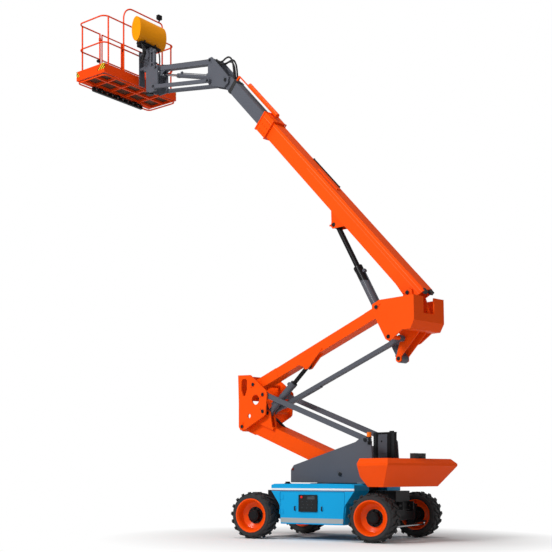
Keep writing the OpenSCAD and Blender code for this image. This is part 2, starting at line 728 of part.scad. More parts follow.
module main_boom() {
  hw = boom_w / 2;
  z0 = -boom_drop;
  z1 = boom_h - boom_drop;
  boom_frame() color(orange) {
    difference() {
      union() {
        at(P, boom_a) box_tube(300, boom_len, -hw, hw, z0, z1, box_t);
        at(P, boom_a) box_tube(boom_len - collar_len, boom_len + boss, -hw - collar_t, hw + collar_t,
          z0 - collar_t, z1 + collar_t, collar_t + box_t / 2);
        for (s = [-1, 1]) boom_side(tail_pts, s);
        at(P, boom_a) translate([-185, -hw + boss, z1 - 14]) cube([520, boom_w - 2 * boss, 14 + boss]);
        pin(P, 80, -hw - 2 * boss, hw + 2 * boss);
      }
      pin(P, pin_r + pin_gap, -hw - 20, hw + 20);
    }
    at(P, boom_a) translate([lug_u - 330, lift_y - lift_eye / 2 - ear_gap - ear_t - boss, z0 - 18])
      cube([660, 2 * (lift_eye / 2 + ear_gap + ear_t + boss), 18 + boss]);
    for (y = [lift_y - lift_eye / 2 - ear_gap - ear_t, lift_y + lift_eye / 2 + ear_gap]) {
      plate([on_boom(lug_u - 300, z0 - 5), on_boom(lug_u - 75, lug_n - 20), on_boom(lug_u - 30, lug_n - 72),
        on_boom(lug_u + 40, lug_n - 68), on_boom(lug_u + 85, lug_n), on_boom(lug_u + 310, z0 - 5)], y, y + ear_t);
    }
    at(P, boom_a) translate([2900, -70, z1 - boss]) cube([700, 110, 16 + boss]);
    boom_pads();
  }
}

// slide pads on the boom's inner walls
module boom_pads() {
  pad_t = slide_gap - run_gap;
  sink = box_t / 2;
  hw = boom_w / 2 - box_t;
  z0 = -boom_drop + box_t;
  z1 = boom_h - boom_drop - box_t;
  at(P, boom_a) for (u = [boom_len - 240, boom_len - 1140]) {
    translate([u, -60, z0 - sink]) cube([180, 120, pad_t + sink]);
    translate([u, -60, z1 - pad_t]) cube([180, 120, pad_t + sink]);
    for (z = [z0 + 60, z1 - 160]) {
      translate([u, -hw - sink, z]) cube([180, pad_t + sink, 100]);
      translate([u, hw - pad_t, z]) cube([180, pad_t + sink, 100]);
    }
  }
}

module fly_boom() {
  u0 = boom_len - fly_inside;
  hw = fly_w / 2;
  z0 = boom_c - fly_h / 2;
  boom_frame() color(grey) difference() {
    union() {
      at(P, boom_a) box_tube(u0, fly_reach - 60, -hw, hw, z0, z0 + fly_h, 9);
      at(P, boom_a) translate([fly_reach - 200, -hw, z0]) cube([140, 2 * hw, fly_h]);
      pin(J0, 100, -hw, hw);
    }
    pin(J0, pin_r + pin_gap, -hw - 1, hw + 1);
  }
}

tube_n = boom_h - boom_drop + collar_t + 65;

module hose_tube() {
  u0 = boom_len - 180;
  u1 = fly_reach - 580;
  u2 = fly_reach - 150;
  boom_frame() color(orange) at(P, boom_a) {
    translate([u0, 0, tube_n]) rotate([0, 90, 0]) cylinder(r = 48, h = u1 - u0, $fn = 32);
    translate([u1 - 60, -20, tube_n - 40]) cube([u2 - u1 + 60, 40, 16]);
    translate([u2 - 40, -20, boom_c + fly_h / 2]) cube([40, 40, tube_n - boom_c - fly_h / 2 - 30]);
  }
}

// Jib
jib_y = 165;
jib_in = 135;

module jib_base() {
  boom_frame() color(grey) {
    for (s = [-1, 1])
      plate([J0 + [-95, 40], J0 + [-75, -90], J0 + [60, -150], JL + [40, -70], JL + [75, 20],
        JU + [70, -20], JU + [50, 60], JU + [-50, 60], J0 + [150, 310]],
        s > 0 ? jib_in : -jib_y, s > 0 ? jib_y : -jib_in);
    pin(J0, pin_r, -jib_y - 10, jib_y + 10);
    pin(JU, jib_pin_r, -jib_y - 10, jib_y + 10);
    for (s = [-1, 1]) {
      plate([JC0 + [-110, -60], JC0 + [50, -50], JC0 + [50, 50], JC0 + [-110, 60]], s > 0 ? jib_in : -jib_y, s > 0 ? jib_y : -jib_in);
      pin(JL, jib_pin_r, s > 0 ? jib_in : -jib_y - 85, s > 0 ? jib_y + 85 : -jib_in);
      pin(JC0, jib_pin_r, s > 0 ? 62 : -jib_in, s > 0 ? jib_in : -62);
    }
    translate([JU[0] - 240, -jib_in, JL[1] + 20]) cube([20, 2 * jib_in, 260]);
  }
}

module jib_arm() {
  hw = jib_in - 8;
  boom_frame() color(grey) difference() {
    union() {
      at(JU, jib_a) translate([70, -75, -48]) cube([jib_len - 140, 150, 96]);
      pin(JU, 60, -hw, hw);
      pin(SU, 60, -hw, hw);
      at(JU, jib_a) translate([0, -75, -48]) cube([120, 150, 96]);
      at(JU, jib_a) translate([jib_len - 120, -75, -48]) cube([120, 150, 96]);
      for (y = [-62, 42]) plate([JC1 + [45, 10], JC1 + [30, -40], JC1 + [-30, -40], JC1 + [-45, 10],
        along(JU, jib_a, 1650, -20), along(JU, jib_a, 1900, -20)], y, y + 20);
    }
    pin(JU, jib_pin_r + pin_gap, -hw - 1, hw + 1);
    pin(SU, jib_pin_r + pin_gap, -hw - 1, hw + 1);
  }
  boom_frame() color(grey) pin(JC1, jib_eye_r, -62, 62);
}

module jib_link() {
  boom_frame() color(grey) for (s = [-1, 1]) {
    y0 = s > 0 ? jib_y + 12 : -jib_y - 82;
    difference() {
      union() {
        bar(JL, SL, y0 + boss, y0 + 70 - boss, 76, jib_pin_r + boss);
        pin(JL, 52, y0, y0 + 70);
        pin(SL, 52, y0, y0 + 70);
      }
      pin(JL, jib_pin_r + pin_gap, y0 - 1, y0 + 71);
      pin(SL, jib_pin_r + pin_gap, y0 - 1, y0 + 71);
    }
  }
}

module jib_barrel() {
  boom_frame() color(grey)
    barrel(JC0, JC1, 0, 46, jib_barrel_len, 46, 80, 0, 60, jib_rod_r);
}

module jib_rod() {
  boom_frame() color(steel) rod(JC0, JC1, 0, jib_rod_r, 790, 40, 70, jib_eye_r + pin_gap);
}

// Platform support: side plates from the jib's ends to the rotator column
col_r = 50;
col_z1 = SU[1] + 640;

module support() {
  boom_frame() color(grey) {
    for (s = [-1, 1])
      plate([SU + [-60, 40], SU + [-50, -60], SL + [-60, 20], SL + [0, -70], SL + [250, -60], [rot_x - 60, SL[1] + 40],
        [rot_x - 60, SU[1] + 40], SU + [120, 70]], s > 0 ? jib_in : -jib_y, s > 0 ? jib_y : -jib_in);
    pin(SU, jib_pin_r, -jib_y - 10, jib_y + 10);
    for (s = [-1, 1]) pin(SL, jib_pin_r, s > 0 ? jib_in : -jib_y - 85, s > 0 ? jib_y + 85 : -jib_in);
    translate([rot_x - 105, -jib_in - 10, SL[1] - 10]) cube([60, 2 * jib_in + 20, SU[1] - SL[1] + 30]);
    translate([rot_x, 0, SL[1] - 30]) cylinder(r = 88, h = SU[1] - SL[1] + 75, $fn = 64);
    translate([rot_x, 0, SU[1]]) cylinder(r = col_r, h = col_z1 - SU[1], $fn = 64);
  }
}

// Platform, drawn about the rotator axis with the basket ahead of it
module plat_frame() {
  boom_frame() translate([rot_x, 0, 0]) rotate([0, 0, plat_yaw]) children();
}

px0 = plat_back;
px1 = plat_back + plat_w;
py = plat_l / 2;
floor_z = plat_z + 100;
top_z = plat_z + rail_h;
mid_z = (floor_z + top_z) / 2;
box_z0 = SU[1] + 60;
box_z1 = box_z0 + 520;
toe_h = 115;
toe_t = 12;

module rotator() {
  plat_frame() color(grey) {
    difference() {
      translate([-120, -85, box_z0]) cube([240, 170, box_z1 - box_z0]);
      translate([0, 0, box_z0 - 1]) cylinder(r = col_r + pin_gap, h = col_z1 - box_z0 + 21, $fn = 64);
    }
    translate([119, -70, box_z0 + 60]) cube([px0 - 119, 140, 60]);
    translate([119, -70, box_z1 - 120]) cube([px0 - 119, 140, 60]);
    translate([px0 - 20, -90, plat_z]) cube([20, 180, box_z1 - plat_z]);
  }
}

rib = 40;
rib_x0 = px0 + 405;
rib_x1 = px0 + 445;
beam_x = px1 - 130;
pockets = 5;
ring_in = 17;
ring_z = plat_z - 45;

// straight tubes run this far into a bend, which is a little fatter
into = 3;
fat = 1;

// quarter bend of a tube round a vertical axis, from angle a
module bend(p, z, turn_r, r, a) {
  translate([p[0], p[1], z]) rotate([0, 0, a]) rotate_extrude(angle = 90, $fn = 48) translate([turn_r, 0])
    circle(r = r + fat, $fn = 24);
}

// closed tube ring with bent corners, between two corners in plan
module tube_ring(xa, xb, yb, z, r, turn_r) {
  t = turn_r - into;
  for (x = [xa, xb]) rod3([x, -yb + t, z], [x, yb - t, z], r);
  for (y = [-yb, yb]) rod3([xa + t, y, z], [xb - t, y, z], r);
  bend([xb - turn_r, yb - turn_r], z, turn_r, r, 0);
  bend([xa + turn_r, yb - turn_r], z, turn_r, r, 90);
  bend([xa + turn_r, -yb + turn_r], z, turn_r, r, 180);
  bend([xb - turn_r, -yb + turn_r], z, turn_r, r, 270);
}

module platform_floor() {
  pitch = (2 * py - rib) / pockets;
  plat_frame() color(red_orange) {
    difference() {
      translate([px0, -py, plat_z]) cube([plat_w, 2 * py, floor_z - plat_z]);
      for (i = [0 : pockets - 1]) {
        translate([px0 + rib, -py + rib + i * pitch, plat_z - 1]) cube([rib_x0 - px0 - rib, pitch - rib, 66]);
        translate([rib_x1, -py + rib + i * pitch, plat_z - 1]) cube([beam_x - 15 - rib_x1, pitch - rib, 66]);
      }
    }
    for (y = [-py, py - toe_t]) translate([px0, y, floor_z - 1]) cube([plat_w, toe_t, toe_h + 1]);
    for (x = [px0, px1 - toe_t]) translate([x, -py, floor_z - 1]) cube([toe_t, 2 * py, toe_h + 1]);
    tube_ring(px0 + ring_in, px1 - ring_in, py - ring_in, ring_z, 16, 100);
    for (x = [px0 + ring_in, px1 - ring_in], i = [1 : pockets - 1])
      translate([x, -py + rib / 2 + i * pitch, ring_z]) cylinder(r = 11, h = plat_z - ring_z + 12, $fn = 24);
  }
}

// perforated beam slung under the platform floor
beam_z0 = plat_z - 120;
beam_h = 90;

module floor_beam() {
  holes = 9;
  plat_frame() color(dark) {
    difference() {
      translate([beam_x, -870, beam_z0]) cube([70, 1660, beam_h]);
      for (i = [0 : holes - 1]) translate([beam_x - 1, -810 + i * 178, beam_z0 + 22]) cube([72, 112, beam_h - 44]);
    }
    for (y = [-650, -80, 490]) translate([beam_x, y, beam_z0 + beam_h - 1])
      cube([70, 80, plat_z - beam_z0 - beam_h + 1]);
  }
}

rail_in = toe_t + rail_r;
post_y0 = -757;
post_y1 = 570;
post_mid = -100;
loop_r0 = 70;
loop_r1 = 300;
gate_y0 = -267;
gate_y1 = 500;

// quarter bend of a tube in a plane across the platform, from angle a
module upright_bend(x, y, z, turn_r, r, a) {
  translate([x, y, z]) rotate([90, 0, 90]) rotate([0, 0, a]) rotate_extrude(angle = 90, $fn = 48)
    translate([turn_r, 0]) circle(r = r + fat, $fn = 24);
}

module platform_rails() {
  r = rail_r;
  bar_r = rail_r - 2.5;
  t = bend_r - into;
  x0 = px0 + rail_in;
  x1 = px1 - rail_in;
  y0 = py - rail_in;
  loop_z = top_z - r + loop_h;
  plat_frame() color(red_orange) {
    for (z = [mid_z, top_z - r]) {
      rod3([x0, -y0 + t, z], [x0, y0 - t, z], bar_r);
      for (y = [-y0, y0]) rod3([x0 + t, y, z], [x1 - t, y, z], bar_r);
      rod3([x1, -y0 + t, z], [x1, gate_y0, z], bar_r);
      rod3([x1, gate_y1, z], [x1, y0 - t, z], bar_r);
      bend([x1 - bend_r, y0 - bend_r], z, bend_r, bar_r, 0);
      bend([x0 + bend_r, y0 - bend_r], z, bend_r, bar_r, 90);
      bend([x0 + bend_r, -y0 + bend_r], z, bend_r, bar_r, 180);
      bend([x1 - bend_r, -y0 + bend_r], z, bend_r, bar_r, 270);
    }
    for (p = [[x0, 1070], [x0, -1070], [x1, 1070], [x1, -1070], [x1, gate_y0], [x1, gate_y1], [x0, post_y0],
      [x0, post_y1], [x0, post_mid]]) {
      translate([p[0], p[1], floor_z]) cylinder(r = r, h = top_z - r - floor_z, $fn = 24);
      translate([p[0], p[1], top_z - r]) sphere(r = r, $fn = 24);
    }
    rod3([x0, post_y0, top_z - r], [x0, post_y0, loop_z - loop_r0 + into], bar_r);
    upright_bend(x0, post_y0 + loop_r0, loop_z - loop_r0, loop_r0, bar_r, 90);
    rod3([x0, post_y0 + loop_r0 - into, loop_z], [x0, post_y1 - loop_r1 + into, loop_z], bar_r);
    upright_bend(x0, post_y1 - loop_r1, loop_z - loop_r1, loop_r1, bar_r, 0);
    rod3([x0, post_y1, top_z - r], [x0, post_y1, loop_z - loop_r1 + into], bar_r);
  }
}

cover_x = px0 - 205;
cover_z = plat_z + 1210;
cover_y0 = -500;
cover_y1 = 395;

// oval cover over the platform controls, hung on the rear rail by two brackets
module control_cover() {
  sides = 40;
  oval = [for (i = [0 : sides - 1]) [cover_x + cover_w * cos(i * 360 / sides), cover_z + cover_h * sin(i * 360 / sides)]];
  plat_frame() color(yellow) {
    plate(oval, cover_y0, cover_y1);
    for (y = [cover_y0 + 160, cover_y1 - 220]) translate([cover_x, y, top_z - rail_r - 30])
      cube([px0 + toe_t + 2.2 - cover_x, 60, 60]);
  }
}

module work_lamp() {
  lamp_z = top_z + loop_h - 2.2;
  lamp_y = post_y0 + loop_r0 + 40;
  x = px0 + rail_in;
  plat_frame() color(dark) {
    translate([x - 12, lamp_y - 12, lamp_z]) cube([24, 24, 70]);
    translate([x - 45, lamp_y - 60, lamp_z + 60]) cube([80, 120, 100]);
    translate([x + 30, lamp_y, lamp_z + 110]) rotate([0, 90, 0]) cylinder(r = 46, h = 22, $fn = 48);
  }
}

gate_r = 16;
sleeve_h = 60;
gate_gap = 10;

// gate in the front side, carried by two sleeves on its hinge post
module gate() {
  x = px1 - rail_in;
  y_far = gate_y0 + rail_r + gate_r + gate_gap;
  y_near = gate_y1 - rail_r - gate_r - 34;
  z_low = floor_z + toe_h + 60;
  z_top = top_z - rail_r;
  plat_frame() color(red_orange) {
    for (z = [z_low + 120, z_top - 130]) difference() {
      union() {
        translate([x, gate_y1, z - sleeve_h / 2]) cylinder(r = rail_r + 9, h = sleeve_h, $fn = 48);
        rod3([x, gate_y1 - rail_r - 4, z], [x, y_near, z], gate_r - 2);
      }
      translate([x, gate_y1, z - sleeve_h]) cylinder(r = rail_r + pin_gap, h = 2 * sleeve_h, $fn = 48);
    }
    for (y = [y_near, y_far]) {
      translate([x, y, z_low]) cylinder(r = gate_r, h = z_top - z_low, $fn = 24);
      for (z = [z_low, z_top]) translate([x, y, z]) sphere(r = gate_r, $fn = 24);
    }
    for (z = [z_low, mid_z, z_top]) rod3([x, y_near, z], [x, y_far, z], gate_r - 1);
  }
}

chassis_frame();
left_compartment();
right_compartment();
engine_block();
left_door();
right_door();
drive_axle();
steer_axle();
left_knuckle();
right_knuckle();
tie_rod();
front_left_tyre();
front_left_rim();
front_left_hub();
front_right_tyre();
front_right_rim();
front_right_hub();
rear_left_tyre();
rear_left_rim();
rear_left_hub();
rear_right_tyre();
rear_right_rim();
rear_right_hub();
turntable_frame();
counterweight();
cabinet();
beacon();
rest_blocks();
lower_arm();
lower_link();
knuckle();
upper_arm();
upper_link();
head();
riser_barrel();
riser_rod();
main_boom();
lift_barrel();
lift_rod();
fly_boom();
hose_tube();
jib_base();
jib_arm();
jib_link();
jib_barrel();
jib_rod();
support();
rotator();
platform_floor();
floor_beam();
platform_rails();
control_cover();
work_lamp();
gate();
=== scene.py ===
# %% [markdown]
# # An articulating boom lift, dressed in Blender
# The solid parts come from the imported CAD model, already in place and in metres. This lesson
# gives them their paint, rubber and chrome, adds the small fittings that a drawing leaves out,
# and sets up a plain studio with a camera where the photographer stood.

import math

import bmesh
import bpy
from mathutils import Matrix, Vector


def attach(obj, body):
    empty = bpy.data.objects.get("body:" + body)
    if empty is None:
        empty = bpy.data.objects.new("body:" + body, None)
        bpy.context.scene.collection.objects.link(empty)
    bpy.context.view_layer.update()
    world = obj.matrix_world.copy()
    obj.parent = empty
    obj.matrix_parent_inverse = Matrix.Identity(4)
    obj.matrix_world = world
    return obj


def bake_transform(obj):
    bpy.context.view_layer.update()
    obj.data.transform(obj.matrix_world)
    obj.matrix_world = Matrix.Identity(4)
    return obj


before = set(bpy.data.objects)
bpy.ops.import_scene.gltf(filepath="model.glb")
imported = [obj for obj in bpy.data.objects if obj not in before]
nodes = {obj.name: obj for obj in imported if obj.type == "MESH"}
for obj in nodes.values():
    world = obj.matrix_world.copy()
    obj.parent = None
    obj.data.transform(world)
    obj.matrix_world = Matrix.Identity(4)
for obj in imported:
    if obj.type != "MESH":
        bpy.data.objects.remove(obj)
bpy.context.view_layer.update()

# %% [markdown]
# ## The camera
# A long machine was photographed from low down with the film plane kept upright, so the lens
# looks almost level and the frame is shifted up. A shift keeps the verticals parallel, which
# tilting the camera up would not do.

# %% Camera
YAW = math.radians(32.54)
PITCH = math.radians(-0.447)
CAMERA_PLACE = (-9.0813, 18.6110, 1.2503)
SENSOR_MM = 36.0
FOCAL_MM = 68.52
SHIFT_X = 0.1069
SHIFT_Y = 0.3733
FARTHEST = 200.0

level = math.cos(PITCH)
look = Vector((math.sin(YAW) * level, -math.cos(YAW) * level, math.sin(PITCH)))
lens = bpy.data.cameras.new("camera")
lens.sensor_width = SENSOR_MM
lens.lens = FOCAL_MM
lens.shift_x = SHIFT_X
lens.shift_y = SHIFT_Y
lens.clip_end = FARTHEST
camera = bpy.data.objects.new("camera", lens)
camera.location = CAMERA_PLACE
camera.rotation_euler = look.to_track_quat("-Z", "Y").to_euler()
bpy.context.scene.collection.objects.link(camera)
bpy.context.scene.camera = camera
bpy.context.scene.view_settings.view_transform = "Standard"
print("camera at", tuple(round(v, 2) for v in camera.location), "lens", lens.lens)

# %% [markdown]
# ## Shader sums written as sums
# A node tree is a list of small sums. Two classes let them be written as Python: a Wire is one
# output socket that answers to + - and *, and a Finish is one material with a method that adds
# any node.

# %% Wires and finishes
class Wire:
    """One output socket of a material; arithmetic on it adds Math nodes."""

    def __init__(self, finish, socket):
        self.finish = finish
        self.socket = socket

    def maths(self, operation, other, swapped=False):
        first, second = (other, self) if swapped else (self, other)
        return self.finish.node("ShaderNodeMath", {"operation": operation}, {0: first, 1: second})

    def __add__(self, other):
        return self.maths("ADD", other)

    __radd__ = __add__

    def __sub__(self, other):
        return self.maths("SUBTRACT", other)

    def __rsub__(self, other):
        return self.maths("SUBTRACT", other, True)

    def __mul__(self, other):
        return self.maths("MULTIPLY", other)

    def above(self, level):
        return self.maths("GREATER_THAN", level)

    def below(self, level):
        return self.maths("LESS_THAN", level)

    def between(self, low, high):
        return self.above(low) * self.below(high)

    def size(self):
        return self.maths("ABSOLUTE", 0.0)

    def wave(self, length):
        return (self * (math.tau / length)).maths("SINE", 0.0)


class Finish:
    """One procedural material around a Principled shader."""

    def __init__(self, name):
        self.material = bpy.data.materials.new(name)
        self.material.use_nodes = True
        self.tree = self.material.node_tree
        self.shader = self.tree.nodes["Principled BSDF"]

    def node(self, kind, settings=None, inputs=None, output=0):
        made = self.tree.nodes.new(kind)
        for key, value in (settings or {}).items():
            setattr(made, key, value)
        for key, value in (inputs or {}).items():
            self.feed(made.inputs[key], value)
        return Wire(self, made.outputs[output])

    def feed(self, socket, value):
        if isinstance(value, Wire):
            self.tree.links.new(value.socket, socket)
        else:
            socket.default_value = value

    def place(self):
        return self.node("ShaderNodeTexCoord", output="Object")

    def axes(self):
        split = self.node("ShaderNodeSeparateXYZ", inputs={0: self.place()})
        outs = split.socket.node.outputs
        return Wire(self, outs[0]), Wire(self, outs[1]), Wire(self, outs[2])

    def noise(self, scale, detail=3.0, rough=0.55):
        return self.node("ShaderNodeTexNoise", inputs={"Vector": self.place(), "Scale": scale,
                                                       "Detail": detail, "Roughness": rough})

    def ramp(self, value, low, high):
        return self.node("ShaderNodeMapRange", {"clamp": True},
                         {0: value, 1: low, 2: high, 3: 0.0, 4: 1.0})

    def mix(self, factor, first, second):
        made = self.tree.nodes.new("ShaderNodeMix")
        made.data_type = "RGBA"
        self.feed(made.inputs[0], factor)
        self.feed(made.inputs[6], first if isinstance(first, Wire) else (*first, 1.0))
        self.feed(made.inputs[7], second if isinstance(second, Wire) else (*second, 1.0))
        return Wire(self, made.outputs[2])

    def bump(self, height, strength, distance):
        return self.node("ShaderNodeBump", inputs={"Strength": strength, "Distance": distance,
                                                   "Height": height})

    def set(self, **values):
        for key, value in values.items():
            self.feed(self.shader.inputs[key.replace("_", " ")], value)
        return self.material


print("shader helpers ready")

# %% [markdown]
# ## Places to measure from
# The turntable is slewed and the platform is turned on the boom's end. Two matrices hold those
# turns, so each fitting below is placed with plain numbers along the boom or across the platform.

# %% Boom and platform places
SLEW = math.radians(-15.2)
PLATFORM_REACH = 5.8582
PLATFORM_TURN = math.radians(8.0)
BOOM_ANGLE = math.radians(46.0)
BOOM_PIN = Vector((-1.8498, 0.0, 4.5400))
BOOM = Matrix.Rotation(SLEW, 4, "Z")
PLATFORM = (BOOM @ Matrix.Translation((PLATFORM_REACH, 0.0, 0.0))
            @ Matrix.Rotation(PLATFORM_TURN, 4, "Z"))


def on_boom(along, up, side=0.0):
    x = BOOM_PIN.x + along * math.cos(BOOM_ANGLE) - up * math.sin(BOOM_ANGLE)
    z = BOOM_PIN.z + along * math.sin(BOOM_ANGLE) + up * math.cos(BOOM_ANGLE)
    return Vector((x, side, z))


print("platform axis", [round(v, 3) for v in PLATFORM.translation])

# %% [markdown]
# ## Paint
# Machine paint is sprayed over welded plate: even in colour, but with faint clouds where the coat
# is thicker, an orange-peel skin that softens the highlights, and a little dust. One function
# builds it, and a mask can lay a second colour over part of a plate, which is how the stripes are
# made.

# %% Painted steel
CLOUD_SCALE = 1.3
DUST_SCALE = 26.0
PEEL_SCALE = 160.0
SPECULAR = 0.09
COAT_ROUGH = 0.15
ORANGE = (0.95, 0.082, 0.0008)
RED = (0.86, 0.060, 0.002)
GREY = (0.100, 0.106, 0.126)
BLACK = (0.010, 0.010, 0.011)
BLUE = (0.005, 0.35, 0.70)
WHITE = (0.80, 0.81, 0.82)
YELLOW = (0.90, 0.31, 0.001)
DUST = (0.35, 0.31, 0.27)


def tint(colour, amount):
    return tuple(min(1.0, max(0.0, c * amount)) for c in colour)


def paint(name, colour, rough=0.46, coat=0.04, cloud=0.07, dust=0.025, over=None):
    f = Finish(name)
    broad = f.noise(CLOUD_SCALE, 4.0)
    fine = f.noise(DUST_SCALE, 5.0, 0.65)
    shade = f.mix(broad, tint(colour, 1.0 - cloud), tint(colour, 1.0 + cloud))
    if over:
        shade = over(f, shade)
    speck = f.ramp(fine, 0.62, 0.80) * dust
    shade = f.mix(speck, shade, DUST)
    peel = f.noise(PEEL_SCALE, 2.0)
    return f.set(Base_Color=shade, Roughness=rough + broad * 0.10 + speck * 1.2,
                 Specular_IOR_Level=SPECULAR, Coat_Weight=coat, Coat_Roughness=COAT_ROUGH,
                 Normal=f.bump(peel, 0.05, 0.002))


orange_paint = paint("orange_paint", ORANGE)
red_paint = paint("basket_red_paint", RED)
grey_paint = paint("slate_grey_paint", GREY, 0.42)
black_paint = paint("black_paint", BLACK, 0.44, 0.05, 0.2, 0.08)
yellow_plastic = paint("yellow_cover", YELLOW, 0.42, 0.08)
print("plain paints", len(bpy.data.materials))

# %% [markdown]
# The boom is folded from sheet, and the light its folds catch is painted on as two fine highlight
# lines along the side.
# Height above the boom's own axis is a sloping sum of x, y and z, so a band of it is a line along
# the boom. The rims are black inside a circle round the axle, and the sides have level bands.

# %% Boom, rim and side paint
UPPER_FOLD = (0.186, 0.193)
LOWER_FOLD = (0.122, 0.127)
LOWER_FOLD_END = 7.35
# a lighter orange: the painted highlight along the boom's folds
FOLD_HIGHLIGHT_COLOUR = (1.0, 0.36, 0.16)
AXLE = (1.25, 0.45)
RIM_CENTRE = 0.164
SIDE_FACE = 1.062
SIDE_BANDS = [(0.327, 0.418, (0.36, 0.40, 0.41)), (0.944, 0.978, WHITE),
              (0.926, 0.938, (0.16, 0.05, 0.04))]


def slewed(f):
    """Lengths along and across the slewed turntable, and height."""
    x, y, z = f.axes()
    along = x * math.cos(SLEW) + y * math.sin(SLEW)
    return along, y * math.cos(SLEW) - x * math.sin(SLEW), z


def reach_squared(first, second, centre):
    """Squared distance from a centre, in the plane of two lengths."""
    one, two = first - centre[0], second - centre[1]
    return one * one + two * two


def axle_reach(f):
    x, _, z = f.axes()
    return reach_squared(x.size(), z, AXLE)


def painted_fold_highlights(f, shade):
    along, _, z = slewed(f)
    rise = (z - BOOM_PIN.z) * math.cos(BOOM_ANGLE)
    up = rise - (along - BOOM_PIN.x) * math.sin(BOOM_ANGLE)
    fold_highlight = up.between(*UPPER_FOLD) + up.between(*LOWER_FOLD) * z.below(LOWER_FOLD_END) * 0.7
    # painted highlight: lighter lines where the boom's folds catch the light
    return f.mix(fold_highlight * 0.45, shade, FOLD_HIGHLIGHT_COLOUR)


def rim_centre(f, shade):
    return f.mix(axle_reach(f).below(RIM_CENTRE ** 2), shade, BLACK)


def side_bands(f, shade):
    _, y, z = f.axes()
    face = y.size().above(SIDE_FACE)
    for low, high, colour in SIDE_BANDS:
        shade = f.mix(face * z.between(low, high), shade, colour)
    return shade


boom_paint = paint("boom_paint", ORANGE, over=painted_fold_highlights)
rim_paint = paint("rim_paint", ORANGE, 0.36, 0.2, over=rim_centre)
blue_paint = paint("sky_blue_paint", BLUE, 0.40, over=side_bands)
print("patterned paints", boom_paint.name, rim_paint.name, blue_paint.name)

# %% [markdown]
# The basket's toe boards carry diagonal black and yellow corners, and its floor is a rusty brown
# punched sheet between painted ribs. Both are worked out in the platform's own directions.

# %% Basket floor
END_BOARD = 1.212
BOARD_FOOT = 10.545
BOARD_TOP = 10.680
NEAR_CORNER = 0.275
FAR_CORNER = 1.205
STRIPE_PITCH = 0.075
FLOOR_ALONG = (0.288, 1.192)
FLOOR_END = 1.216
FLOOR_UNDERSIDE = (10.515, 10.538)
FLOOR_TOP = (10.5575, 10.5615)
HOLE_PITCH = 0.040
HAZARD_YELLOW = (0.85, 0.55, 0.02)
RUST = (0.115, 0.052, 0.032)
HOLE = (0.018, 0.010, 0.008)


def basket_marks(f, shade):
    x, y, z = f.axes()
    ox, oy = PLATFORM.translation.x, PLATFORM.translation.y
    ex, ey = PLATFORM.col[0], PLATFORM.col[1]
    along = (x - ox) * ex.x + (y - oy) * ex.y
    across = ((x - ox) * ey.x + (y - oy) * ey.y).size()
    end = across.above(END_BOARD) * z.above(BOARD_FOOT)
    slope = (BOARD_TOP - z) * 1.3
    near = (along - NEAR_CORNER).below(slope + 0.07)
    far = (FAR_CORNER - along).below(slope * 0.5 + 0.02)
    stripe = (along + z).wave(STRIPE_PITCH).above(0.0)
    hazard = f.mix(stripe, HAZARD_YELLOW, BLACK)
    shade = f.mix(end * near.maths("MAXIMUM", far), shade, hazard)
    inside = along.between(*FLOOR_ALONG) * across.below(FLOOR_END)
    sheet = inside * z.between(*FLOOR_UNDERSIDE).maths("MAXIMUM", z.between(*FLOOR_TOP))
    holes = (along.wave(HOLE_PITCH) * across.wave(HOLE_PITCH)).above(0.42)
    return f.mix(sheet, shade, f.mix(holes, RUST, HOLE))


floor_paint = paint("basket_floor_paint", RED, over=basket_marks)
print("basket floor", floor_paint.name)

# %% [markdown]
# Some single parts have two colours: the beacon's ribbed lens on its black foot, the lift
# cylinder's black top, the grey panel with its lock on the cabinet, one pin end flush with the
# head's plate, and the motor that turns the platform, painted black partly for its own dark colour
# and partly as painted shade between the support's plates.

# %% Parts in two colours
LENS_FOOT = 1.932
LENS_RIB = 0.012
LENS_COLOURS = ((0.95, 0.15, 0.0), (1.0, 0.24, 0.01))
RAM_TOP = 4.96
CABINET_FACE = -0.2112
PANEL_ALONG = (-1.067, -0.852)
PANEL_UP = (1.44, 2.005)
LOCK = (-0.935, 1.87)
LOCK_RADIUS = 0.018
HEAD_FACE = 0.4507
HEAD_PIN = (-1.6138, 3.741)
HEAD_PIN_RADIUS = 0.037
MOTOR_RADIUS = 0.098


def lens_top(f, shade):
    x, _, z = f.axes()
    ribs = f.mix(x.wave(LENS_RIB).above(0.3), *LENS_COLOURS)
    return f.mix(z.above(LENS_FOOT), shade, ribs)


def ram_top(f, shade):
    _, _, z = f.axes()
    return f.mix(z.above(RAM_TOP), shade, BLACK)


def service_panel(f, shade):
    along, across, z = slewed(f)
    panel = across.above(CABINET_FACE) * along.between(*PANEL_ALONG) * z.between(*PANEL_UP)
    lock = reach_squared(along, z, LOCK)
    return f.mix(panel * lock.above(LOCK_RADIUS ** 2), shade, GREY)


def pin_face(f, shade):
    along, across, z = slewed(f)
    pin = reach_squared(along, z, HEAD_PIN).below(HEAD_PIN_RADIUS ** 2)
    return f.mix(across.above(HEAD_FACE) * pin, shade, BLACK)


# black round the platform's axis: the motor's own dark colour, and painted shade between the
# support's plates
def swing_motor_and_shade(f, shade):
    x, y, _ = f.axes()
    reach = reach_squared(x, y, PLATFORM.translation)
    return f.mix(reach.below(MOTOR_RADIUS ** 2), shade, BLACK)


beacon_finish = paint("beacon_finish", BLACK, 0.25, 0.3, over=lens_top)
ram_paint = paint("ram_paint", GREY, 0.36, 0.10, over=ram_top)
support_paint = paint("support_paint", GREY, 0.42, over=swing_motor_and_shade)
cabinet_paint = paint("cabinet_paint", BLACK, 0.44, 0.05, 0.2, 0.08, over=service_panel)
head_paint = paint("head_paint", ORANGE, over=pin_face)
print("beacon, ram, support, cabinet and head finishes made")

# %% [markdown]
# ## Rubber, chrome and glass
# Rubber is never quite black: dust greys it, and moulded rings run round the side wall. The rings
# follow the distance from the axle, which is the same sum for all four wheels.

# %% Rubber and metal
RING_BAND = (0.335, 0.395)
RING_PITCH = 0.012
GRIT = (0.13, 0.12, 0.11)


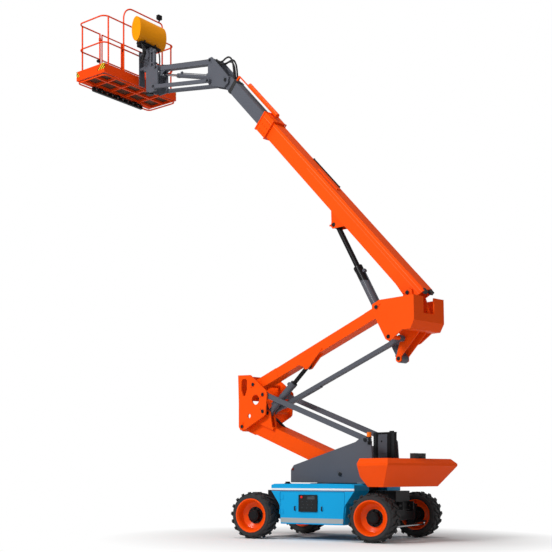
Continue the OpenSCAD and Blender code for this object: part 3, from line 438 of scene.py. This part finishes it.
def rubber(name, colour, rings=False):
    f = Finish(name)
    broad = f.noise(3.0, 4.0)
    grit = f.noise(90.0, 4.0, 0.7)
    shade = f.mix(broad, tint(colour, 0.8), tint(colour, 1.5))
    shade = f.mix(f.ramp(grit, 0.58, 0.8) * 0.22, shade, GRIT)
    height = grit
    if rings:
        reach = axle_reach(f).maths("SQRT", 0.0)
        height = grit * 0.5 + reach.between(*RING_BAND) * reach.wave(RING_PITCH) * 0.6
    return f.set(Base_Color=shade, Roughness=0.62 + grit * 0.25,
                 Normal=f.bump(height, 0.30, 0.004))


def bright_metal(name, colour, rough):
    f = Finish(name)
    streak = f.noise(40.0, 3.0)
    return f.set(Base_Color=f.mix(streak, tint(colour, 0.90), colour), Metallic=1.0,
                 Roughness=rough + streak * 0.10)


tyre_rubber = rubber("tyre_rubber", (0.016, 0.016, 0.017), True)
block_rubber = rubber("block_rubber", (0.013, 0.013, 0.014))
hose_rubber = rubber("hose_rubber", (0.008, 0.008, 0.009))
chrome_rod = bright_metal("chrome_rod", (0.74, 0.75, 0.77), 0.12)
stop_red = paint("stop_red", (0.75, 0.015, 0.010), 0.30, 0.3)
panel_black = paint("panel_black", (0.020, 0.022, 0.024), 0.50, 0.0, 0.15, 0.12)
lamp_glass = paint("lamp_glass", (0.30, 0.32, 0.34), 0.12, 0.6, 0.15, 0.0)
screen_glass = paint("screen_glass", (0.050, 0.060, 0.070), 0.15, 0.4, 0.2, 0.0)
bolt_red = paint("bolt_red", (0.16, 0.012, 0.008), 0.38, 0.1)
print("finishes", len(bpy.data.materials))

# %% Give every CAD node its finish
FINISH = {
    orange_paint: "counterweight lower_arm knuckle upper_arm hose_tube",
    head_paint: "head",
    cabinet_paint: "cabinet",
    boom_paint: "main_boom",
    rim_paint: "front_left_rim front_right_rim rear_left_rim rear_right_rim",
    red_paint: "platform_rails gate",
    floor_paint: "platform_floor",
    grey_paint: "turntable_frame lower_link upper_link riser_barrel fly_boom "
                "jib_base jib_arm jib_link jib_barrel rotator",
    ram_paint: "lift_barrel",
    support_paint: "support",
    black_paint: "chassis_frame drive_axle steer_axle left_knuckle right_knuckle engine_block "
                 "floor_beam front_left_hub front_right_hub rear_left_hub rear_right_hub "
                 "riser_rod lift_rod work_lamp",
    blue_paint: "left_compartment right_compartment left_door right_door",
    yellow_plastic: "control_cover",
    tyre_rubber: "front_left_tyre front_right_tyre rear_left_tyre rear_right_tyre",
    block_rubber: "rest_blocks",
    chrome_rod: "tie_rod jib_rod",
    beacon_finish: "beacon",
}
dressed = set()
for finish, names in FINISH.items():
    for name in names.split():
        mesh = nodes[name].data
        mesh.materials.clear()
        mesh.materials.append(finish)
        dressed.add(name)
print("dressed", len(dressed), "left", sorted(set(nodes) - dressed))

# %% [markdown]
# ## Tools for the fittings
# Small fittings are cut plates, turned pins and bent hoses. A block is a cube with its edges
# bevelled, a pin is a cone of equal radii with its rims bevelled, and a hose is a curve with a
# round section that is turned into a mesh. Each finished piece is moved into place and, when a body
# is given, hung on the body that carries it.

# %% Block, pin and hose
SHARP = math.radians(34)


def bevel_edges(bm, edges, width):
    bmesh.ops.bevel(bm, geom=edges, offset=width, offset_type="OFFSET", segments=2,
                    profile=0.5, affect="EDGES", material=-1)


def edges_of(verts):
    """Each edge once, in the same order on every run."""
    return list(dict.fromkeys(edge for vert in verts for edge in vert.link_edges))


def block(bm, low, high, bevel=0.004, turn=None):
    low, high = Vector(low), Vector(high)
    size = Matrix.Diagonal((*(high - low), 1.0))
    place = Matrix.Translation((low + high) / 2) @ (turn or Matrix()) @ size
    made = bmesh.ops.create_cube(bm, size=1.0, matrix=place)
    bevel_edges(bm, edges_of(made["verts"]), min(bevel, 0.4 * min(high - low)))


def turned_pin(bm, start, end, radius, sides=24, rim=0.12):
    start, end = Vector(start), Vector(end)
    way = end - start
    turn = way.to_track_quat("Z", "Y").to_matrix().to_4x4()
    place = Matrix.Translation((start + end) / 2) @ turn
    made = bmesh.ops.create_cone(bm, cap_ends=True, cap_tris=False, segments=sides,
                                 radius1=radius, radius2=radius, depth=way.length, matrix=place)
    rims = [edge for edge in edges_of(made["verts"])
            if any(len(face.verts) == sides for face in edge.link_faces)]
    bevel_edges(bm, rims, min(radius * rim, way.length * 0.3))


def hang(mesh, name, body, finish):
    mesh.materials.append(finish)
    mesh.shade_smooth()
    mesh.set_sharp_from_angle(angle=SHARP)
    piece = bpy.data.objects.new(name, mesh)
    bpy.context.scene.collection.objects.link(piece)
    if body:
        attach(piece, body)
    return piece


def deliver(bm, name, body, finish, place=Matrix()):
    bmesh.ops.transform(bm, matrix=place, verts=bm.verts)
    bmesh.ops.recalc_face_normals(bm, faces=bm.faces)
    mesh = bpy.data.meshes.new(name)
    bm.to_mesh(mesh)
    bm.free()
    return hang(mesh, name, body, finish)


def hose(name, body, points, radius, place=BOOM):
    curve = bpy.data.curves.new(name + "_path", "CURVE")
    curve.dimensions = "3D"
    curve.bevel_depth = radius
    curve.bevel_resolution = 3
    curve.resolution_u = 8
    curve.use_fill_caps = True
    spline = curve.splines.new("BEZIER")
    spline.bezier_points.add(len(points) - 1)
    for knot, point in zip(spline.bezier_points, points):
        knot.co = place @ Vector(point)
        knot.handle_left_type = knot.handle_right_type = "AUTO"
    path_piece = bpy.data.objects.new(name + "_path", curve)
    bpy.context.scene.collection.objects.link(path_piece)
    graph = bpy.context.evaluated_depsgraph_get()
    mesh = bpy.data.meshes.new_from_object(path_piece.evaluated_get(graph))
    bpy.data.objects.remove(path_piece)
    bpy.data.curves.remove(curve)
    mesh.name = name
    mesh.materials.clear()
    return hang(mesh, name, body, hose_rubber)


print("tools ready")

# %% [markdown]
# ## Pivot pins
# Every big pivot shows the end of a dark pin, kept from turning by a small flag plate with two
# bolts in the colour of the plate behind it. They are many and alike, so one function builds one
# pin end. All the pin ends of a body become one piece, and all its flags another.

# %% Pin ends
BIG_PIN = 0.038
SMALL_PIN = 0.030
RAM_PIN = 0.040
LUG_PIN = 0.042
FLAG_HALF = 0.007
GREY_BODIES = ("turntable", "jib_base", "support")


def pin_end(pins, flags, point, side, radius, flag):
    x, y, z = point
    out = 1.0 if side > 0 else -1.0
    turned_pin(pins, (x, y, z), (x, y + out * 0.012, z), radius)
    turned_pin(pins, (x, y + out * 0.010, z), (x, y + out * 0.020, z), radius * 0.34, 6)
    way = Vector((math.cos(flag), 0.0, math.sin(flag)))
    heart = Vector((x, y - out * FLAG_HALF, z)) + way * radius * 1.75
    half = Vector((radius * 0.9, FLAG_HALF, radius * 0.42))
    block(flags, heart - half, heart + half, 0.004, Matrix.Rotation(-flag, 4, "Y"))
    for step in (-0.45, 0.45):
        bolt = heart + way * radius * step
        turned_pin(flags, bolt, bolt + Vector((0.0, out * 0.014, 0.0)), radius * 0.22, 6)


def both_sides(ends):
    """The left ends given, and the same ends mirrored to the right."""
    return ends + [(x, -y, z, -1, radius, flag) for x, y, z, side, radius, flag in ends]


# Each row gives the place, the side, the radius and the direction of the flag.
lug = on_boom(2.5, -0.29)
PIN_ENDS = {
    "turntable": both_sides([(-0.430, 0.411, 1.243, 1, BIG_PIN, 0.6),
                             (-1.040, 0.411, 1.883, 1, BIG_PIN, 3.9)]),
    "knuckle": both_sides([(2.2729, 0.411, 2.2375, 1, BIG_PIN, 1.9),
                           (1.6629, 0.411, 2.8775, 1, BIG_PIN, -0.5),
                           (1.9459, 0.411, 3.0985, 1, BIG_PIN, -0.6)])
    + [(1.6709, 0.400, 2.5325, 1, BIG_PIN, 0.7), (1.6709, -0.411, 2.5325, -1, BIG_PIN, 0.7)],
    "head": both_sides([(-1.8498, 0.204, 4.5400, 1, BIG_PIN, 0.0)])
    + [(-1.3388, 0.461, 4.3070, 1, BIG_PIN, 2.6), (-1.4998, -0.242, 3.3850, -1, BIG_PIN, 2.2),
       (-1.4998, 0.004, 3.3850, 1, BIG_PIN, 2.2)],
    "lower_arm": [(1.6399, 0.292, 2.5005, 1, RAM_PIN, 0.0)],
    "jib_base": both_sides([(3.0494, 0.174, 9.7486, 1, BIG_PIN, 1.0),
                            (3.5474, 0.174, 10.3106, 1, SMALL_PIN, 4.0),
                            (3.5474, 0.249, 9.8506, 1, SMALL_PIN, 0.0)]),
    "support": both_sides([(5.4282, 0.174, 10.6967, 1, SMALL_PIN, 0.0),
                           (5.4282, 0.249, 10.2367, 1, SMALL_PIN, 0.0)]),
    "main_boom": [(lug.x, -0.235, lug.z, -1, LUG_PIN, 0.0), (lug.x, 0.005, lug.z, 1, LUG_PIN, 0.0)],
}
for body, ends in PIN_ENDS.items():
    pins, flags = bmesh.new(), bmesh.new()
    for x, y, z, side, radius, flag in ends:
        pin_end(pins, flags, (x, y, z), side, radius, flag)
    deliver(pins, "pin_ends_" + body, body, panel_black, BOOM)
    if body in GREY_BODIES:
        deliver(flags, "pin_flags_" + body, body, grey_paint, BOOM)
    else:
        deliver(flags, "pin_flags_" + body, body, orange_paint, BOOM)

# %% [markdown]
# ## Ground controls and latches
# The left door carries a dark control panel with a red stop button, switches and a small screen.
# The bezel is one block whose front face is inset and pushed back, so the face sits in a frame as
# on the real one.

# %% Ground control panel
DOOR_FACE = 1.0795
PANEL_FACE = 1.094
STOP_X, STOP_Z = 0.200, 0.815
SWITCH_ROWS = (0.730, 0.672, 0.614)
SWITCH_START = 0.195
SWITCH_STEP = 0.098

bm = bmesh.new()
block(bm, (-0.122, DOOR_FACE, 0.543), (0.272, 1.104, 0.857), 0.007)
face = max(bm.faces, key=lambda f: f.calc_area() * f.normal.y)
bmesh.ops.inset_region(bm, faces=[face], thickness=0.018, depth=-0.009)
block(bm, (-0.118, 1.098, 0.538), (0.268, 1.110, 0.560), 0.005)
deliver(bm, "control_bezel", "left_door", panel_black)

bm = bmesh.new()
turned_pin(bm, (STOP_X, PANEL_FACE, STOP_Z), (STOP_X, 1.108, STOP_Z), 0.013)
turned_pin(bm, (STOP_X, 1.106, STOP_Z), (STOP_X, 1.120, STOP_Z), 0.024, 24, 0.4)
deliver(bm, "stop_button", "left_door", stop_red)

bm = bmesh.new()
for row, z in enumerate(SWITCH_ROWS):
    for column in range(3):
        x = SWITCH_START - SWITCH_STEP * column - 0.020 * (row % 2)
        turned_pin(bm, (x, PANEL_FACE, z), (x, 1.098, z), 0.011, 12)
        turned_pin(bm, (x, 1.096, z), (x, 1.112, z + 0.009), 0.0038, 10)
deliver(bm, "panel_switches", "left_door", screen_glass)

bm = bmesh.new()
block(bm, (-0.070, 1.093, 0.770), (0.085, 1.099, 0.828), 0.003)
deliver(bm, "panel_screen", "left_door", screen_glass)
print("ground controls on the left door")

# %% Door latches, louvres and deck cap
LATCH_PLACES = (0.355, -0.212)
LOUVRES = 9
LOUVRE_START = 0.560
LOUVRE_STEP = 0.035
LOUVRE_TURN = Matrix.Rotation(math.radians(28), 4, "X")
CAP_X, CAP_Y = 0.564, 0.985

for body, side in (("left_door", 1.0), ("right_door", -1.0)):
    bm = bmesh.new()
    for x in LATCH_PLACES:
        near, far = sorted((side * 1.0792, side * 1.1015))
        block(bm, (x - 0.015, near, 0.556), (x + 0.015, far, 0.640), 0.005)
        near, far = sorted((side * 1.1005, side * 1.1075))
        block(bm, (x - 0.009, near, 0.566), (x + 0.009, far, 0.628), 0.003)
    deliver(bm, body + "_latches", body, panel_black)

bm = bmesh.new()
block(bm, (-0.13, -1.0865, 0.535), (0.29, -DOOR_FACE, 0.865), 0.003)
for step in range(LOUVRES):
    z = LOUVRE_START + step * LOUVRE_STEP
    block(bm, (-0.10, -1.101, z), (0.26, -1.083, z + 0.009), 0.003, LOUVRE_TURN)
deliver(bm, "vent_louvres", "right_door", black_paint)

bm = bmesh.new()
turned_pin(bm, (CAP_X, CAP_Y, 1.0615), (CAP_X, CAP_Y, 1.078), 0.062)
turned_pin(bm, (CAP_X, CAP_Y, 1.076), (CAP_X, CAP_Y, 1.104), 0.046, 12, 0.25)
deliver(bm, "filler_cap", "chassis", panel_black)
print("latches, louvres and cap made")

# %% [markdown]
# ## Boom fittings
# The boom's mouth is a thick collar whose wear pads are held by bolts, its tail has a rubber
# bumper, and a short hose rail sits on its back. A strap ties the hoses to the fly near the tip.
# All of them are bars laid square to the boom.

# %% Collar bolts, bumper and strap
TILT = Matrix.Rotation(-BOOM_ANGLE, 4, "Y")
BOLT_RADIUS = 0.013
FLANGES = ((5.575, 0.026), (5.215, 0.020))
FLANGE_BARS = (((-0.196, -0.136), (-0.176, 0.290)), ((0.176, -0.136), (0.196, 0.290)),
               ((-0.190, -0.138), (0.190, -0.118)), ((-0.190, 0.271), (0.190, 0.291)))
STRAP_PLACE = 6.905
STRAP_WIDTH = 0.090
STRAP_BARS = (((0.110, -0.062), (0.121, 0.222)), ((-0.121, -0.062), (-0.110, 0.222)),
              ((-0.121, 0.210), (0.121, 0.222)), ((-0.121, -0.062), (0.121, -0.050)))
RAIL_SIDE, RAIL_UP = -0.136, 0.254
RAIL_BARS = ((3.51, 0.98, 0.010, 0.014), (3.03, 0.03, 0.016, 0.018), (3.99, 0.03, 0.016, 0.018))


def boom_bar(bm, along, length, low, high, bevel=0.004):
    """A block square to the boom, between two (side, up) corners."""
    heart = on_boom(along, (low[1] + high[1]) / 2, (low[0] + high[0]) / 2)
    half = Vector((length / 2, (high[0] - low[0]) / 2, (high[1] - low[1]) / 2))
    block(bm, heart - half, heart + half, bevel, TILT)


bm = bmesh.new()
for along in (5.29, 5.38, 5.47):
    for up in (-0.05, 0.06, 0.17):
        for side in (1.0, -1.0):
            foot, top = on_boom(along, up, side * 0.179), on_boom(along, up, side * 0.192)
            turned_pin(bm, foot, top, BOLT_RADIUS, 6)
    for side in (-0.10, 0.10):
        foot, top = on_boom(along, -0.119, side), on_boom(along, -0.132, side)
        turned_pin(bm, foot, top, BOLT_RADIUS, 6)
deliver(bm, "collar_bolts", "main_boom", orange_paint, BOOM)

bm = bmesh.new()
for along, length in FLANGES:
    for low, high in FLANGE_BARS:
        boom_bar(bm, along, length, low, high)
deliver(bm, "collar_flanges", "main_boom", orange_paint, BOOM)

bm = bmesh.new()
for side in (-0.09, 0.09):
    boom_bar(bm, -0.205, 0.110, (side - 0.045, 0.180), (side + 0.045, 0.250), 0.012)
deliver(bm, "tail_bumper", "main_boom", block_rubber, BOOM)

bm = bmesh.new()
for along, length, wide, high in RAIL_BARS:
    boom_bar(bm, along, length, (RAIL_SIDE - wide, RAIL_UP - high),
             (RAIL_SIDE + wide, RAIL_UP + high), 0.005)
deliver(bm, "hose_rail", "main_boom", black_paint, BOOM)

bm = bmesh.new()
for low, high in STRAP_BARS:
    boom_bar(bm, STRAP_PLACE, STRAP_WIDTH, low, high)
deliver(bm, "fly_strap", "fly", block_rubber, BOOM)
print("boom fittings made")

# %% [markdown]
# ## Hoses
# Hoses leave the fly's top in a loop and dive into the jib's base, so the jib base can tip without
# pulling them. They cross one pivot and are hung on no body. Two more cross the elbow in the same
# way, and two lie along the jib.

# %% Hose loops over the joints
TIP_RADIUS = 0.019
ELBOW_RADIUS = 0.018
JIB_RADIUS = 0.014
TIP_LOOPS = {
    "tip_hose_a": (0.055, [(2.885, 9.735), (2.900, 9.86), (2.915, 10.00), (2.955, 10.16),
                           (3.05, 10.262), (3.16, 10.268), (3.27, 10.235), (3.37, 10.258),
                           (3.455, 10.325)]),
    "tip_hose_b": (0.000, [(2.885, 9.735), (2.912, 9.85), (2.930, 9.97), (2.960, 10.08),
                           (3.03, 10.165), (3.12, 10.190), (3.23, 10.190), (3.35, 10.210),
                           (3.455, 10.275)]),
    "tip_hose_c": (-0.055, [(2.885, 9.735), (2.905, 9.85), (2.922, 9.99), (2.962, 10.13),
                            (3.045, 10.225), (3.15, 10.232), (3.26, 10.212), (3.36, 10.232),
                            (3.455, 10.300)]),
}
ELBOW_ROUTE = [(1.45, 2.07), (1.50, 2.15), (1.60, 2.22), (1.72, 2.31), (1.86, 2.41), (1.97, 2.46),
               (2.06, 2.54), (2.11, 2.66), (2.17, 2.78), (2.26, 2.845), (2.362, 2.86)]
JIB_ROUTE = [(3.62, 10.385), (3.95, 10.448), (4.40, 10.540), (4.85, 10.632), (5.20, 10.706),
             (5.36, 10.755)]


def at_side(route, side):
    return [(x, side, z) for x, z in route]


for name, (side, route) in TIP_LOOPS.items():
    loop = hose(name, None, at_side(route, side), TIP_RADIUS)
    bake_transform(loop)
for number, side in enumerate((-0.15, -0.19)):
    loop = hose("elbow_hose_%d" % number, None, at_side(ELBOW_ROUTE, side), ELBOW_RADIUS)
    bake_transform(loop)
for number, side in enumerate((-0.045, 0.045)):
    hose("jib_hose_%d" % number, "jib_arm", at_side(JIB_ROUTE, side), JIB_RADIUS)
print("hoses laid")

# %% [markdown]
# ## Cylinder pipes
# Each lifting cylinder has a valve block on its barrel and a pipe that carries oil to the far end.

# %% Valve blocks and pipes
PIPE_RADIUS = 0.009
PIPE_LIFT = 0.016
END_INSET = 0.06

# Each row gives the foot, the eye, the side, the barrel's radius, and the pipe's start and end.
RAMS = {
    "lift_barrel": ((-1.4998, 3.3850), (0.0952, 6.1370), -0.115, 0.084, 0.30, 2.05),
    "riser_barrel": ((1.6399, 2.5005), (0.5729, 3.3905), 0.215, 0.068, 0.22, 0.84),
    "jib_barrel": ((3.6074, 9.9806), (5.3664, 10.5503), 0.0, 0.046, 0.20, 1.22),
}
for body, (foot, eye, side, radius, start, end) in RAMS.items():
    way = Vector((eye[0] - foot[0], 0.0, eye[1] - foot[1])).normalized()
    up = Vector((-way.z, 0.0, way.x))
    if up.z < 0:
        up = -up
    base = Vector((foot[0], side, foot[1])) + up * (radius + PIPE_LIFT)
    turn = Matrix.Rotation(-math.atan2(way.z, way.x), 4, "Y")
    bm = bmesh.new()
    for place, size in ((start, 0.055), (end - END_INSET, 0.030)):
        heart = base + way * place
        half = Vector((size, radius * 0.45, 0.026))
        block(bm, heart - half, heart + half, 0.005, turn)
        turned_pin(bm, heart + up * 0.020, heart + up * 0.040, 0.012, 6)
    turned_pin(bm, base + way * start, base + way * (end - END_INSET), PIPE_RADIUS, 12)
    deliver(bm, body + "_pipe", body, grey_paint, BOOM)
print("pipes on", len(RAMS), "barrels")

# %% [markdown]
# ## Cabinet and turntable fittings
# The tall black cabinet between the side plates has a rim round its face, a cap, and vents on its
# rear side. The lift cylinder passes close to its face, so its grey panel and lock are paint only.

# %% Cabinet trim
VENTS = 7
VENT_START = 1.45
VENT_STEP = 0.06
VENT_TURN = Matrix.Rotation(math.radians(24), 4, "Y")
BOLT_X, BOLT_Z = 0.815, 1.345

bm = bmesh.new()
block(bm, (-1.236, -0.294, 2.026), (-0.734, -0.2055, 2.044), 0.008)
for x in (-1.236, -0.800):
    block(bm, (x, -0.2135, 1.30), (x + 0.066, -0.2050, 2.030), 0.004)
for step in range(VENTS):
    z = VENT_START + step * VENT_STEP
    block(bm, (-1.238, -0.275, z), (-1.226, -0.225, z + 0.022), 0.004, VENT_TURN)
deliver(bm, "cabinet_trim", "turntable", panel_black, BOOM)

bm = bmesh.new()
for side in (1.0, -1.0):
    for low, high, radius, sides in ((0.399, 0.409, 0.028, 24), (0.407, 0.418, 0.015, 6)):
        turned_pin(bm, (BOLT_X, side * low, BOLT_Z), (BOLT_X, side * high, BOLT_Z), radius, sides)
deliver(bm, "plate_bolts", "turntable", bolt_red, BOOM)
print("cabinet dressed")

# %% [markdown]
# ## Basket fittings
# Under the yellow cover a black stand holds the console, with its hoses looping to the rotator. A
# foot switch stands on the floor, the gate has a black latch, and the lamp has a lens.

# %% Console stand and hoses
CONSOLE_HOSES = ((0.300, 10.98), (0.255, 11.04), (-0.270, 11.02), (0.215, 11.10))
CONSOLE_RADIUS = 0.016
ACTUATOR_X, ACTUATOR_Y = -0.190, 0.050

bm = bmesh.new()
for y in (-0.250, 0.062):
    block(bm, (-0.115, y, 11.2775), (0.130, y + 0.188, 11.300), 0.006)
for y in (-0.20, 0.16):
    block(bm, (-0.020, y, 11.295), (0.120, y + 0.045, 11.440), 0.008)
block(bm, (-0.060, -0.330, 11.340), (0.130, 0.330, 11.372), 0.008)
block(bm, (0.128, -0.260, 11.330), (0.232, 0.210, 11.560), 0.012)
deliver(bm, "console_stand", "platform", black_paint, PLATFORM)
for number, (y, low) in enumerate(CONSOLE_HOSES):
    route = [(-0.010, y, 11.352), (-0.050, y + 0.012, 11.26), (-0.075, y + 0.015, 11.12),
             (-0.060, y, low), (0.010, y - 0.020, low - 0.075), (0.090, y - 0.055, low - 0.045),
             (0.135, y - 0.085, low + 0.03)]
    hose("console_hose_%d" % number, "platform", route, CONSOLE_RADIUS, PLATFORM)

bm = bmesh.new()
turned_pin(bm, (ACTUATOR_X, ACTUATOR_Y, 10.83), (ACTUATOR_X, ACTUATOR_Y, 11.21), 0.044)
for z in (10.88, 11.14):
    block(bm, (-0.240, -0.006, z), (-0.118, 0.106, z + 0.034), 0.006)
deliver(bm, "rotator_actuator", "platform", grey_paint, PLATFORM)

bm = bmesh.new()
block(bm, (0.212, -0.110, 11.590), (0.262, 0.060, 11.640), 0.010)
for y in (-0.075, 0.025):
    turned_pin(bm, (0.240, y, 11.635), (0.246, y, 11.700), 0.008, 12)
    turned_pin(bm, (0.246, y, 11.690), (0.248, y, 11.735), 0.016, 16, 0.4)
deliver(bm, "control_levers", "platform", panel_black, PLATFORM)
print("console made")

# %% Foot switch, latch and lamp lens
PEDAL_TURN = Matrix.Rotation(math.radians(9), 4, "Y")
LAMP_Y, LAMP_Z = -0.647, 12.329

bm = bmesh.new()
block(bm, (0.52, -0.16, 10.5605), (0.70, 0.02, 10.600), 0.010)
block(bm, (0.54, -0.14, 10.610), (0.68, 0.00, 10.622), 0.005, PEDAL_TURN)
block(bm, (0.50, -0.17, 10.595), (0.53, 0.03, 10.690), 0.008)
deliver(bm, "foot_switch", "platform", panel_black, PLATFORM)

bm = bmesh.new()
block(bm, (1.150, -0.300, 11.655), (1.200, -0.240, 11.705), 0.010)
block(bm, (1.155, -0.292, 11.600), (1.193, -0.248, 11.660), 0.008)
block(bm, (1.146, 0.520, 11.100), (1.202, 0.590, 11.160), 0.010)
deliver(bm, "gate_latch", "platform", panel_black, PLATFORM)

bm = bmesh.new()
turned_pin(bm, (0.3585, LAMP_Y, LAMP_Z), (0.3655, LAMP_Y, LAMP_Z), 0.040, 32, 0.08)
deliver(bm, "lamp_lens", "platform", lamp_glass, PLATFORM)
print("basket fittings made")

# %% [markdown]
# ## The studio
# A pale floor that turns into the white background, one broad soft light high on the camera's
# left, a weaker one from the right, one overhead for the top faces, and an even white world.

# %% Floor and light
FLOOR_SIZE = 60.0
FADE = (4.0, 22.0)
PURE_WHITE = (1.0, 1.0, 1.0, 1.0)
FLOOR_COLOUR = (0.90, 0.90, 0.90, 1.0)
WORLD_STRENGTH = 0.29
LAMP_SIZE = 8.0

# Each row gives the place, the target and the power in watts.
SOFTBOXES = {
    "key": ((7.0, 19.0, 14.0), (1.0, 0.0, 5.0), 3300.0),
    "fill": ((-16.0, 9.0, 8.0), (0.0, 0.0, 4.0), 120.0),
    "top": ((2.5, 3.0, 23.0), (0.5, 0.0, 3.0), 1200.0),
}

floor_mesh = bpy.data.meshes.new("floor")
sheet = bmesh.new()
bmesh.ops.create_grid(sheet, x_segments=2, y_segments=2, size=FLOOR_SIZE)
sheet.to_mesh(floor_mesh)
sheet.free()
floor = bpy.data.objects.new("floor", floor_mesh)
bpy.context.scene.collection.objects.link(floor)
ground = Finish("studio_floor")
gx, gy, _ = ground.axes()
away = ground.ramp(gx * gx + gy * gy, *FADE)
rays = ground.node("ShaderNodeLightPath").socket.node.outputs
seen = Wire(ground, rays["Is Camera Ray"])
for kind in ("Is Glossy Ray", "Is Transmission Ray"):
    seen = seen.maths("MAXIMUM", Wire(ground, rays[kind]))
glow = ground.node("ShaderNodeEmission", inputs={"Color": PURE_WHITE, "Strength": 1.0})
ground.set(Base_Color=FLOOR_COLOUR, Roughness=0.9)
matt = Wire(ground, ground.shader.outputs[0])
blend = ground.node("ShaderNodeMixShader", inputs={0: away * seen, 1: matt, 2: glow})
ground.tree.links.new(blend.socket, ground.tree.nodes["Material Output"].inputs["Surface"])
floor_mesh.materials.append(ground.material)

world = bpy.data.worlds.new("studio")
world.use_nodes = True
sky = world.node_tree
sky.nodes["Background"].inputs["Color"].default_value = PURE_WHITE
sky.nodes["Background"].inputs["Strength"].default_value = WORLD_STRENGTH
plain = sky.nodes.new("ShaderNodeBackground")
plain.inputs["Color"].default_value = PURE_WHITE
path = sky.nodes.new("ShaderNodeLightPath")
choose = sky.nodes.new("ShaderNodeMixShader")
sky.links.new(path.outputs["Is Camera Ray"], choose.inputs[0])
sky.links.new(sky.nodes["Background"].outputs[0], choose.inputs[1])
sky.links.new(plain.outputs[0], choose.inputs[2])
sky.links.new(choose.outputs[0], sky.nodes["World Output"].inputs["Surface"])
bpy.context.scene.world = world

for name, (place, target, power) in SOFTBOXES.items():
    data = bpy.data.lights.new(name, "AREA")
    data.shape = "DISK"
    data.size = LAMP_SIZE
    data.energy = power
    lamp = bpy.data.objects.new(name, data)
    lamp.location = place
    lamp.rotation_euler = (Vector(target) - Vector(place)).to_track_quat("-Z", "Y").to_euler()
    bpy.context.scene.collection.objects.link(lamp)
print("studio set")
